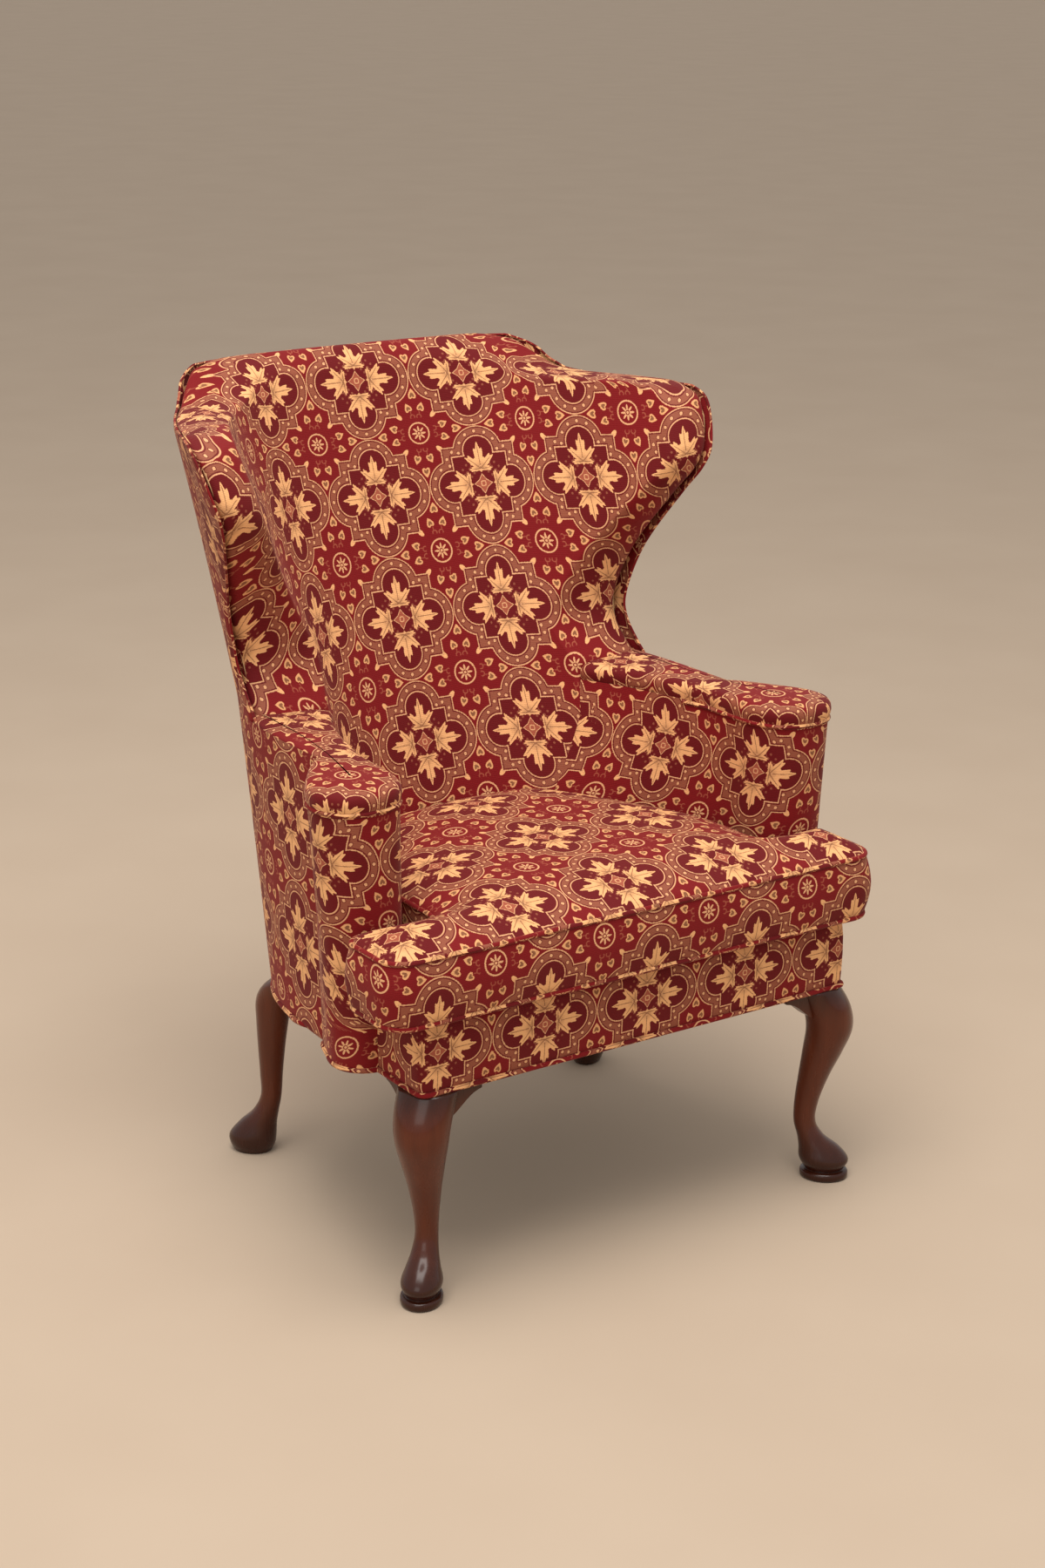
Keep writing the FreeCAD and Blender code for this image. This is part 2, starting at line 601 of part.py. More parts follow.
def cushion_half(z, inset, side):
    """Edges of one half of the cushion's plan, from the front middle to the back middle."""
    front, rear = cushion_front + inset, cushion_front + ear_depth - inset
    reach, neck = ear_reach[side] * wide - inset, cushion_neck * wide - inset
    keep = max(0.1, 1.0 - 0.6 * inset / ear_back_radius)
    r1, r2 = ear_corner_radius * keep, ear_back_radius * keep
    edges = [Part.makeLine(at(0, front, z), at(reach - r1, front, z)),
             arc(at(reach - r1, front + r1, z), r1, -math.pi / 2, 0.0),
             Part.makeLine(at(reach, front + r1, z), at(reach, rear - r2, z)),
             arc(at(reach - r2, rear - r2, z), r2, 0.0, math.pi / 2),
             Part.makeLine(at(reach - r2, rear, z), at(neck, rear, z)),
             Part.makeLine(at(neck, rear, z), at(neck, neck_depth, z))]
    radius = cushion_rear(z) - inset
    turn = math.pi / 2 - math.radians(cushion_rear_turn)
    axis = at(0, zip_axis_depth, z)
    end = axis + Vector(math.cos(turn), math.sin(turn), 0) * radius
    leaving = Vector(math.sin(turn), -math.cos(turn), 0)
    bend = Part.BezierCurve()
    bend.setPoles([at(neck, neck_depth, z), at(neck, neck_depth + cushion_bend[0], z),
                   end + leaving * cushion_bend[1], end])
    edges += [bend.toShape(), arc(axis, radius, turn, math.pi / 2)]
    if side < 0:
        edges = [mirrored(e) for e in edges]
    return edges


def cushion_section(z, inset):
    return Part.Wire(Part.__sortEdges__(cushion_half(z, inset, 1) + cushion_half(z, inset, -1)))


def cushion_form(inset, bottom, top):
    """The cushion drawn in all round by an inset, between two heights."""
    middle = (bottom + cushion_welt) / 2
    sections = [cushion_section(bottom, inset + boxing_draw), cushion_section(middle, inset),
                cushion_section(cushion_welt, inset + boxing_draw)]
    rise = top - cushion_welt
    sections += [cushion_section(cushion_welt + rise * share, inset + boxing_draw + reach)
                 for reach, share in crown_steps]
    return Part.makeLoft(sections, True, True)


cushion_top = cushion_welt + cushion_crown
cover = cushion_form(0.0, cushion_bottom, cushion_top)
core = cushion_form(foam_inset, cushion_bottom + foam_inset, cushion_top - foam_inset)

zip_height = (cushion_bottom + cushion_welt) / 2
zip_axis = at(0, zip_axis_depth, 0)
tape_radius = cushion_rear(zip_height) - zip_depth


def ring_strip(radius, thick, half_turn, half_height):
    """Upright strip curved about the zip's axis, behind the cushion."""
    start = at(0, zip_axis_depth, zip_height - half_height)
    turn = math.radians(2 * half_turn)
    outer = Part.makeCylinder(radius + thick, 2 * half_height, start, Vector(0, 0, 1), math.degrees(turn))
    inner = Part.makeCylinder(radius, 2 * half_height, start, Vector(0, 0, 1), math.degrees(turn))
    strip = outer.cut(inner)
    return strip.rotate(start, Vector(0, 0, 1), 90 - half_turn)


groove = ring_strip(tape_radius, 3 * zip_depth, zip_turn, slider_width / 2 + slider_air)
tape = ring_strip(tape_radius, zip_thick, zip_turn, zip_width / 2)
slider_start = tape_radius + zip_thick + slider_air
slider = Part.makeBox(slider_length, slider_thick, slider_width,
                      at(-slider_length / 2, zip_axis_depth + slider_start,
                         zip_height - slider_width / 2))
pull = Part.makeBox(pull_length, pull_thick, pull_width,
                    at(-slider_length / 2 - pull_length + 5.0,
                       zip_axis_depth + slider_start + slider_thick, zip_height - pull_width / 2))
slider = slider.fuse(pull).removeSplitter()
slider = slider.rotate(zip_axis, Vector(0, 0, 1), -slider_rest_turn)
nodes["cushion_cover"] = trim(cover.cut(core), [groove])
nodes["cushion_core"] = core
nodes["cushion_zip_tape"] = tape
nodes["zip_slider"] = slider

os.makedirs("parts", exist_ok=True)
for name, shape in nodes.items():
    shape.exportStep("parts/" + name + ".step")
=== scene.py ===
import json
import math

import bpy
import numpy as np
from mathutils import Vector, Matrix, noise
from mathutils.geometry import delaunay_2d_cdt


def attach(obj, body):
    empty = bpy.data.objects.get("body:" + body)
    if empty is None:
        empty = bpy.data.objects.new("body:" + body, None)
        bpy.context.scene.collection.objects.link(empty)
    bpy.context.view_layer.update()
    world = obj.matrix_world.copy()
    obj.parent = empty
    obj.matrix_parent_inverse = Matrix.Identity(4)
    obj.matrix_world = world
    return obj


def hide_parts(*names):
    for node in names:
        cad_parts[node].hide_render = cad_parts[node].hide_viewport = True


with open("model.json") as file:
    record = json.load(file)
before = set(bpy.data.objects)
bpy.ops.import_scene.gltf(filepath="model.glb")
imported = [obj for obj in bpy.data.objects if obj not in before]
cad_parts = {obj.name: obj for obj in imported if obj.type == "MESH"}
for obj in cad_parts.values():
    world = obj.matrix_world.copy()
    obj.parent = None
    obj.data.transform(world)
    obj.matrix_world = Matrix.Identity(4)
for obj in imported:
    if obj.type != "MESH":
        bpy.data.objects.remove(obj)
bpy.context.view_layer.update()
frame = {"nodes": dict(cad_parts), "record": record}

# Wingback armchair: the looks. Metres, in the frame of the CAD part. Depths are measured
# backwards from the line through the front feet, as in the part.
FOOT_LINE = -0.338446
LEG_TOP, ARM_TOP, CREST = 0.283, 0.650, 1.077
SEAT_HALF = 0.329
WALL_HEIGHTS = (0.283, 0.660, 1.085)
# Plan poles of the wall's outer and inner face at the three heights
OUTER = np.array((((0, 500), (260, 505), (350, 455), (345, 180)),
                  ((0, 610), (270, 612), (345, 560), (322, 200)),
                  ((0, 722), (300, 727), (318, 695), (442, 390))), float) / 1000
INNER = np.array((((0, 385), (120, 385), (185, 300), (290, 100)),
                  ((0, 520), (200, 520), (245, 420), (300, 100)),
                  ((0, 677), (250, 677), (262, 630), (410, 330))), float) / 1000
# Edge of wing and crest: depth in millimetres, share of the way from arm top to crest
RIM = np.array(((420, 0.0), (458, .098), (468, .187), (450, .351), (402, .539), (378, .628),
                (374, .703), (398, .824), (426, .867), (470, .885), (600, .888), (640, .918),
                (664, .965), (690, 1.0)), float)
# Seam of arm and inside back, and the arm's rounded front at its foot and top
ARM_SEAM = ((.206, .355), (.314, .403))
COLUMN_LOW = np.array(((272, 170), (279, 122), (297, 92), (326, 85), (354, 91), (372, 113),
                       (373, 136), (363, 165), (349, 196), (310, 205)), float) / 1000
COLUMN_TOP = np.array(((276, 180), (281, 128), (300, 93), (335, 81), (374, 88), (396, 117),
                       (394, 152), (368, 195), (338, 232), (305, 236)), float) / 1000
# Repeat of the pattern, width of the rolled edge, and the share of the wall where that edge lies
PERIOD = 0.162
ROLL = 0.020
EDGE_SHARE = 0.48
# Lower end of the inside back, underside of the arm's pad, upper end of the arm's cover
BACK_LOW, PAD_LOW, ARM_LIP = 0.44, ARM_TOP - 0.013, 0.628
SEAM_RADIUS, WELT_RADIUS, ARM_WELT, CUSHION_WELT = 0.0018, 0.0034, 0.0032, 0.0036
SIDES = (("right", 1), ("left", -1))


# Curves and surfaces

def spline(points, count, closed=False):
    """Evenly spaced points on a smooth curve through the given points."""
    P = np.asarray(points, float)
    ends = (P[-1:], P[:2]) if closed else (2 * P[:1] - P[1:2], 2 * P[-1:] - P[-2:-1])
    Q = np.vstack([ends[0], P, ends[1]])
    pieces = []
    for i in range(1, len(Q) - 2):
        t = np.linspace(0, 1, 24, endpoint=False)[:, None]
        a, b, c, d = Q[i - 1], Q[i], Q[i + 1], Q[i + 2]
        pieces.append(.5 * (2 * b + (c - a) * t + (2 * a - 5 * b + 4 * c - d) * t ** 2
                            + (3 * b - a - 3 * c + d) * t ** 3))
    line = np.vstack(pieces + [Q[-2:-1]])
    return resample(line, count)


def lengths(line):
    return np.r_[0, np.cumsum(np.linalg.norm(np.diff(line, axis=0), axis=1))]


def resample(line, count):
    run = lengths(line)
    at = np.linspace(0, run[-1], count)
    return np.stack([np.interp(at, run, line[:, k]) for k in range(line.shape[1])], 1)


def run_across(P):
    """Length along each row of a grid of points, from its first column."""
    return np.c_[np.zeros(len(P)), np.cumsum(np.linalg.norm(np.diff(P, axis=1), axis=2), 1)]


def run_up(P):
    """Length up each column of a grid of points, from its first row."""
    return np.vstack([np.zeros(P.shape[1]), np.cumsum(np.linalg.norm(np.diff(P, axis=0), axis=2), 0)])


def smooth(a, b, x):
    t = np.clip((x - a) / (b - a), 0, 1)
    return t * t * (3 - 2 * t)


RIM_LINE = spline(np.c_[RIM[:, 0] / 1000, (ARM_TOP + (CREST - ARM_TOP) * RIM[:, 1])], 400)
WING_CORNER = ARM_TOP + (CREST - ARM_TOP) * .884
RIM_SIDE = RIM_LINE[:np.argmax(RIM_LINE[:, 1] > WING_CORNER) + 1]
RIM_CREST = RIM_LINE[len(RIM_SIDE) - 1:]


def rim_depth(z):
    return np.interp(z, RIM_SIDE[:, 1], RIM_SIDE[:, 0])


def rim_top(depth):
    return np.interp(depth, RIM_CREST[:, 0], RIM_CREST[:, 1])


def wall(share, u, z):
    """Plan point (x, depth) of the wall at a share of its thickness, a way along and a height."""
    share, u, z = np.broadcast_arrays(np.asarray(share, float), u, z)
    low = (z > WALL_HEIGHTS[1]).astype(int)
    H = np.array(WALL_HEIGHTS)
    t = ((z - H[low]) / (H[low + 1] - H[low]))[..., None, None]
    D = OUTER - INNER
    A = INNER[low] + D[low] * share[..., None, None]
    B = INNER[low + 1] + D[low + 1] * share[..., None, None]
    Q = A * (1 - t) + B * t
    v = np.abs(u)[..., None]
    p = ((1 - v) ** 3 * Q[..., 0, :] + 3 * v * (1 - v) ** 2 * Q[..., 1, :]
         + 3 * v * v * (1 - v) * Q[..., 2, :] + v ** 3 * Q[..., 3, :])
    p[..., 0] *= np.where(u < 0, -1, 1)
    return p


def along_for_depth(share, z, depth):
    """The way along the wall where it reaches a depth at a height."""
    lo, hi = np.zeros_like(z), np.ones_like(z)
    for _ in range(30):
        mid = (lo + hi) / 2
        deeper = wall(share, mid, z)[..., 1] > depth
        lo, hi = np.where(deeper, mid, lo), np.where(deeper, hi, mid)
    return (lo + hi) / 2


def place(p, z):
    """Points in the frame from plan points and heights."""
    return np.stack([p[..., 0], p[..., 1] + FOOT_LINE, np.broadcast_to(z, p.shape[:-1])], -1)


# Meshes

def new_object(name, verts, faces, uv=None, material=None, body="chair", replaces=()):
    mesh = bpy.data.meshes.new(name)
    faces = [tuple(map(int, face)) for face in faces]
    mesh.from_pydata([tuple(v) for v in np.asarray(verts, float)], [], faces)
    mesh.validate()
    if uv is not None:
        layer = mesh.uv_layers.new(name="cloth")
        index = np.zeros(len(mesh.loops), np.int32)
        mesh.loops.foreach_get("vertex_index", index)
        layer.data.foreach_set("uv", np.asarray(uv, np.float32)[index].ravel())
    mesh.polygons.foreach_set("use_smooth", [True] * len(mesh.polygons))
    obj = bpy.data.objects.new(name, mesh)
    bpy.context.scene.collection.objects.link(obj)
    if material is not None:
        mesh.materials.append(material)
    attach(obj, body)
    if replaces:
        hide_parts(*replaces)
    return obj


def grid_faces(rows, columns, keep=None, closed=False, start=0):
    faces = []
    for i in range(rows - 1):
        for j in range(columns - (0 if closed else 1)):
            if keep is None or keep[i, j]:
                k = (j + 1) % columns
                faces.append((start + i * columns + j, start + i * columns + k,
                              start + (i + 1) * columns + k, start + (i + 1) * columns + j))
    return faces


def flip(faces):
    return [tuple(reversed(f)) for f in faces]


def tube(name, line, radius, material, closed=False, body="chair", sides=10):
    """A welt cord along a line of points, its cloth cut on the bias."""
    line = np.asarray(line, float)
    count = len(line)
    ahead = np.roll(line, -1, 0) - np.roll(line, 1, 0)
    if not closed:
        ahead[0], ahead[-1] = line[1] - line[0], line[-1] - line[-2]
    ahead /= np.linalg.norm(ahead, axis=1)[:, None]
    side = np.zeros_like(line)
    first = np.cross(ahead[0], (0, 0, 1.0))
    if np.linalg.norm(first) < .1:
        first = np.cross(ahead[0], (1.0, 0, 0))
    previous = first / np.linalg.norm(first)
    for i in range(count):
        previous = previous - ahead[i] * np.dot(previous, ahead[i])
        previous /= np.linalg.norm(previous)
        side[i] = previous
    other = np.cross(ahead, side)
    run = lengths(np.vstack([line, line[:1]]))[:count]
    verts, uv = [], []
    for j in range(sides + 1):
        a = 2 * math.pi * j / sides
        verts.append(line + radius * (math.cos(a) * side + math.sin(a) * other))
        across = a * radius
        uv.append(np.c_[(run + across) * .7071, (run - across) * .7071] / PERIOD)
    verts = np.stack(verts, 1).reshape(-1, 3)
    uv = np.stack(uv, 1).reshape(-1, 2)
    faces = grid_faces(count, sides + 1)
    if closed:
        last = (count - 1) * (sides + 1)
        faces += [(last + j, last + j + 1, j + 1, j) for j in range(sides)]
    return new_object(name, verts, faces, uv, material, body)


def cover(name, P, uv, faces, replaces=()):
    """A piece of damask from a grid of points."""
    return new_object(name, P.reshape(-1, 3), faces, uv.reshape(-1, 2), DAMASK,
                      replaces=replaces)


# Materials: a small way of writing shader arithmetic

class Nodes:
    """Node arithmetic in one material."""

    def __init__(self, name):
        self.material = bpy.data.materials.new(name)
        self.material.use_nodes = True
        self.tree = self.material.node_tree
        self.tree.nodes.clear()
        self.out = self.tree.nodes.new("ShaderNodeOutputMaterial")
        self.shader = self.tree.nodes.new("ShaderNodeBsdfPrincipled")
        self.link(self.shader.outputs[0], self.out.inputs["Surface"])

    def link(self, a, b):
        self.tree.links.new(a, b)

    def feed(self, socket, value):
        if isinstance(value, bpy.types.NodeSocket):
            self.link(value, socket)
        elif value is not None:
            socket.default_value = value

    def node(self, kind, **settings):
        node = self.tree.nodes.new(kind)
        for key, value in settings.items():
            setattr(node, key, value)
        return node

    def math(self, operation, a, b=None, c=None):
        node = self.node("ShaderNodeMath", operation=operation)
        for socket, value in zip(node.inputs, (a, b, c)):
            self.feed(socket, value)
        return node.outputs[0]

    def add(self, a, b):
        return self.math("ADD", a, b)

    def sub(self, a, b):
        return self.math("SUBTRACT", a, b)

    def mul(self, a, b):
        return self.math("MULTIPLY", a, b)

    def least(self, a, b):
        return self.math("MINIMUM", a, b)

    def most(self, a, b):
        return self.math("MAXIMUM", a, b)

    def size(self, a):
        return self.math("ABSOLUTE", a)

    def hypot(self, a, b):
        return self.math("SQRT", self.add(self.mul(a, a), self.mul(b, b)))

    def step(self, x, low, high):
        """0 below low and 1 above high; the other way round if low is above high."""
        node = self.node("ShaderNodeMapRange", interpolation_type="SMOOTHSTEP")
        turned = low > high
        for socket, value in zip(node.inputs, (x, min(low, high), max(low, high),
                                               1.0 if turned else 0.0, 0.0 if turned else 1.0)):
            self.feed(socket, value)
        return node.outputs[0]

    def mix(self, share, a, b):
        node = self.node("ShaderNodeMix", data_type="RGBA")
        self.feed(node.inputs[0], share)
        self.feed(node.inputs[6], a)
        self.feed(node.inputs[7], b)
        return node.outputs[2]

    def curve(self, x, points):
        node = self.node("ShaderNodeFloatCurve")
        curve = node.mapping.curves[0]
        node.mapping.use_clip = False
        while len(curve.points) < len(points):
            curve.points.new(.5, .5)
        for point, (a, b) in zip(curve.points, points):
            point.location = (a, b)
            point.handle_type = "AUTO"
        node.mapping.update()
        self.feed(node.inputs["Value"], x)
        return node.outputs[0]

    def noise(self, vector, scale, detail=2.0):
        node = self.node("ShaderNodeTexNoise")
        self.feed(node.inputs["Vector"], vector)
        node.inputs["Scale"].default_value = scale
        node.inputs["Detail"].default_value = detail
        return node.outputs["Fac"]

    def wave(self, vector, scale, direction):
        node = self.node("ShaderNodeTexWave", bands_direction=direction)
        self.feed(node.inputs["Vector"], vector)
        node.inputs["Scale"].default_value = scale
        return node.outputs["Fac"]

    def bump(self, height, distance, strength=1.0):
        node = self.node("ShaderNodeBump")
        node.inputs["Strength"].default_value = strength
        node.inputs["Distance"].default_value = distance
        self.feed(node.inputs["Height"], height)
        self.feed(self.shader.inputs["Normal"], node.outputs[0])

    def set(self, **values):
        for key, value in values.items():
            self.feed(self.shader.inputs[key.replace("_", " ")], value)


def srgb(r, g, b):
    def linear(v):
        v /= 255
        return v / 12.92 if v <= .04045 else ((v + .055) / 1.055) ** 2.4
    return (linear(r), linear(g), linear(b), 1.0)


CRIMSON, WINE = srgb(120, 8, 14), srgb(100, 5, 11)
GOLD, PALE, TAN = srgb(234, 174, 118), srgb(220, 164, 118), srgb(144, 78, 56)
VEIN, ROSE = srgb(96, 36, 22), srgb(160, 82, 60)


# Middle and radius of a medallion's lobes in repeats, and the angle from dot to dot on them
LOBE_MIDDLE, LOBE_RADIUS, DOT_ANGLE = .275, .222, .5236
# Outlines of leaf and heart: share of half a turn, and radius
LEAF_EDGE = ((0.0, .212), (.04, .184), (.08, .152), (.11, .114), (.14, .094), (.175, .110), (.22, .144),
             (.27, .156), (.31, .134), (.35, .090), (.39, .068), (.44, .078), (.50, .094), (.56, .088),
             (.62, .050), (.70, .026), (.84, .020), (1.0, .030))
HEART_EDGE = ((0.0, 1.0), (.08, .80), (.25, .62), (.50, .66), (.75, .80), (.90, .62), (1.0, .40))


def line(n, x, middle, half, soft=.0025):
    """1 where x is within half of the middle, 0 away from it."""
    return n.step(n.size(n.sub(x, middle)), half + soft, half - soft)


def band_dots(n, M, m, lobe):
    """Distance from the dots along a medallion's band: on the lobes by angle, one in each barb."""
    angle = n.math("ARCTAN2", m, n.sub(M, LOBE_MIDDLE))
    sector = n.mul(n.math("ROUND", n.mul(angle, 1 / DOT_ANGLE)), DOT_ANGLE)
    on_lobe = n.step(n.sub(lobe, LOBE_RADIUS), .004, -.004)
    dot_lobe = n.hypot(n.sub(lobe, .176), n.mul(n.sub(angle, sector), lobe))
    dot_barb = n.hypot(n.sub(M, .290), n.sub(m, .235))
    return n.add(n.mul(dot_lobe, on_lobe), n.mul(dot_barb, n.sub(1.0, on_lobe)))


def medallion_leaf(n, M, m):
    """Leaf along the axis with its veins, the shade at its stalk end and its row of beads."""
    x = n.sub(M, .124)
    radius = n.hypot(x, m)
    angle = n.mul(n.math("ARCTAN2", m, x), 1 / math.pi)
    teeth = n.add(1.0, n.mul(n.math("COSINE", n.mul(angle, 28 * math.pi)), .085))
    d = n.sub(radius, n.mul(n.curve(angle, LEAF_EDGE), teeth))
    leaf = n.step(d, .005, -.003)
    nearest = n.least(n.size(angle), n.least(n.size(n.sub(angle, .265)), n.size(n.sub(angle, .50))))
    vein = n.mul(n.step(n.mul(n.mul(nearest, math.pi), radius), .006, .0015), n.step(d, -.008, -.040))
    shade = n.mul(n.mul(n.step(radius, .085, .015), .7), n.step(d, .0, -.03))
    beads = n.hypot(n.math("PINGPONG", n.sub(M, .115), .016), m)
    bead = n.mul(n.step(beads, .0075, .0045), n.mul(n.step(M, .108, .112), n.step(M, .176, .170)))
    return leaf, vein, shade, bead


def medallion_middle(n, M, m):
    """Small curls and dots on the diagonals, and the star in the middle with its lines."""
    def spot(x, y, r):
        return n.step(n.hypot(n.sub(M, x), n.sub(m, y)), r + .003, r - .003)

    curl = line(n, n.hypot(n.sub(M, .150), n.sub(m, .075)), .014, .004)
    curls = n.most(n.most(spot(.128, .098, .013), spot(.092, .064, .010)),
                   n.most(spot(.165, .128, .010), curl))
    star = n.add(M, n.mul(m, 1.5))
    star_line = n.most(line(n, star, .080, .005), line(n, n.add(M, n.mul(m, .2)), .020, .004))
    return curls, n.step(star, .084, .078), star_line


def heart(n, Q, q, x, y, length, tilt=0.0):
    """A heart pointing outwards, its middle at (x, y): its fill and its core."""
    hx, hy = n.sub(Q, x), n.sub(q, y)
    if tilt:
        c, s = math.cos(tilt), math.sin(tilt)
        hx, hy = n.add(n.mul(hx, c), n.mul(hy, s)), n.sub(n.mul(hy, c), n.mul(hx, s))
    hy = n.size(hy)
    edge = n.curve(n.mul(n.math("ARCTAN2", hy, hx), 1 / math.pi), HEART_EDGE)
    d = n.sub(n.mul(n.hypot(hx, hy), 1 / length), edge)
    core = n.mul(n.step(d, -.24, -.34), n.step(hx, length * .5, length * .2))
    return n.step(d, .06, -.04), core


def between_medallions(n, Q, q):
    """Rosette, hearts, small leaf and scroll around the place where medallions meet."""
    radius = n.hypot(Q, q)
    petals = n.add(.042, n.mul(n.math("COSINE", n.mul(n.math("ARCTAN2", q, Q), 8.0)), .022))
    flower = n.mul(n.step(n.sub(radius, petals), .004, -.002), n.step(radius, .018, .022))
    flower = n.most(flower, n.step(radius, .013, .010))
    rosette = n.most(line(n, radius, .094, .0065), flower)
    hearts = [heart(n, Q, q, .230, .060, .047, .35), heart(n, Q, q, .345, .0, .052)]
    side_leaf = n.hypot(n.mul(n.sub(n.add(Q, q), .330), .70), n.mul(n.sub(Q, q), 1.35))
    scroll = n.mul(line(n, n.hypot(n.sub(Q, .150), n.sub(q, .030)), .020, .005), n.step(Q, .135, .145))
    stem = n.mul(line(n, q, .040, .004), n.mul(n.step(Q, .158, .165), n.step(Q, .205, .195)))
    return rosette, hearts, n.step(side_leaf, .042, .036), n.most(scroll, stem)


def damask():
    """Woven cloth with barbed quatrefoil medallions, leaves, rosettes and hearts."""
    n = Nodes("damask")
    uv = n.node("ShaderNodeUVMap", uv_map="cloth").outputs[0]
    parts = n.node("ShaderNodeSeparateXYZ")
    n.link(uv, parts.inputs[0])
    U, V = parts.outputs[0], parts.outputs[1]
    wobble = n.mul(n.sub(n.noise(uv, 90.0, 1.0), .5), .010)

    # One eighth of a repeat, measured from a medallion's middle (M, m) and from its corner (Q, q)
    a = n.size(n.sub(n.add(U, wobble), n.math("ROUND", U)))
    b = n.size(n.sub(n.add(V, wobble), n.math("ROUND", V)))
    M, m = n.most(a, b), n.least(a, b)
    qa, qb = n.sub(.5, a), n.sub(.5, b)
    Q, q = n.most(qa, qb), n.least(qa, qb)

    # Medallion: d is the distance from its outline, below 0 inside it
    lobe = n.hypot(n.sub(M, LOBE_MIDDLE), m)
    d = n.least(n.sub(lobe, LOBE_RADIUS), n.sub(M, .335))
    inside = n.step(d, .003, -.003)
    outside = n.sub(1.0, inside)
    band = n.mul(n.step(d, .002, -.002), n.step(d, -.094, -.090))
    deep = n.mul(inside, n.step(d, -.094, -.098))
    dots = band_dots(n, M, m, lobe)
    leaf, vein, shade, bead = medallion_leaf(n, M, m)
    curls, star_fill, star_line = medallion_middle(n, M, m)
    rosette, hearts, small_leaf, scroll = between_medallions(n, Q, q)

    # Colours, from the ground up
    color = n.mix(n.mul(inside, n.step(d, -.082, -.096)), CRIMSON, WINE)
    color = n.mix(n.mul(outside, n.mul(scroll, .8)), color, ROSE)
    color = n.mix(n.mul(outside, small_leaf), color, GOLD)
    for fill, core in hearts:
        color = n.mix(n.mul(outside, n.mul(fill, .85)), color, GOLD)
        color = n.mix(n.mul(outside, n.mul(core, .8)), color, VEIN)
    color = n.mix(n.mul(outside, rosette), color, PALE)
    color = n.mix(n.mul(inside, n.mul(curls, .9)), color, TAN)
    color = n.mix(n.mul(inside, star_fill), color, ROSE)
    color = n.mix(n.mul(inside, star_line), color, PALE)
    color = n.mix(n.mul(deep, leaf), color, GOLD)
    color = n.mix(n.mul(deep, n.mul(leaf, n.mul(shade, .55))), color, VEIN)
    color = n.mix(n.mul(deep, n.mul(vein, .65)), color, VEIN)
    color = n.mix(n.mul(deep, bead), color, PALE)
    color = n.mix(band, color, TAN)
    color = n.mix(n.mul(band, n.step(dots, .016, .0125)), color, PALE)
    color = n.mix(n.mul(band, line(n, dots, .0165, .0025)), color, WINE)
    color = n.mix(n.mul(band, n.most(line(n, d, -.014, .0045), line(n, d, -.076, .0045))), color, WINE)
    color = n.mix(n.most(line(n, d, -.004, .0045), line(n, d, -.088, .0045)), color, PALE)

    # Yarn: ribs across, slubs and uneven dye
    ribs = n.wave(uv, 26.0, "Y")
    slub = n.noise(uv, 55.0, 3.0)
    cloud = n.noise(uv, 1.3, 2.0)
    tone = n.add(n.add(.86, n.mul(ribs, .06)), n.add(n.mul(slub, .14), n.mul(cloud, .10)))
    dye = n.node("ShaderNodeHueSaturation")
    n.feed(dye.inputs["Color"], color)
    n.feed(dye.inputs["Value"], tone)
    gold_share = n.most(n.mul(deep, leaf), n.most(band, n.mul(outside, small_leaf)))
    n.set(Base_Color=dye.outputs[0], Roughness=n.sub(.80, n.mul(gold_share, .14)), Sheen_Weight=.14,
          Sheen_Roughness=.45, Sheen_Tint=srgb(255, 190, 170), Specular_IOR_Level=.25)
    n.bump(n.add(n.mul(gold_share, .6), n.add(n.mul(ribs, .25), n.mul(slub, .5))), .0006, .8)
    return n.material


def lacquered_wood():
    n = Nodes("lacquered_wood")
    coords = n.node("ShaderNodeTexCoord").outputs["Object"]
    stretch = n.node("ShaderNodeMapping")
    n.link(coords, stretch.inputs[0])
    stretch.inputs["Scale"].default_value = (14.0, 14.0, 1.6)
    grain = n.noise(stretch.outputs[0], 6.0, 5.0)
    parts = n.node("ShaderNodeSeparateXYZ")
    n.link(coords, parts.inputs[0])
    height = parts.outputs[2]
    red, dark = srgb(100, 42, 15), srgb(34, 13, 7)
    color = n.mix(grain, srgb(70, 26, 9), red)
    # Darker towards the foot and towards the top of the leg, by height
    darker_ends = n.most(n.step(height, .105, .02), n.step(height, .235, .29))
    color = n.mix(n.mul(darker_ends, .75), color, dark)
    n.set(Base_Color=color, Roughness=n.add(.22, n.mul(grain, .10)), Coat_Weight=.22,
          Coat_Roughness=.12, Specular_IOR_Level=.3)
    n.bump(grain, .0004, .35)
    return n.material


def plain(name, dark, light, scale, rough, stretch=(1, 1, 1), metal=0.0, bump=.0003):
    """Two-tone stuff with grain at its own scale: sawn wood, lining, foam, steel."""
    n = Nodes(name)
    coords = n.node("ShaderNodeTexCoord").outputs["Object"]
    mapping = n.node("ShaderNodeMapping")
    n.link(coords, mapping.inputs[0])
    mapping.inputs["Scale"].default_value = stretch
    grain = n.noise(mapping.outputs[0], scale, 4.0)
    n.set(Base_Color=n.mix(grain, dark, light), Roughness=n.add(rough - .05, n.mul(grain, .1)),
          Metallic=metal)
    n.bump(grain, bump, .5)
    return n.material


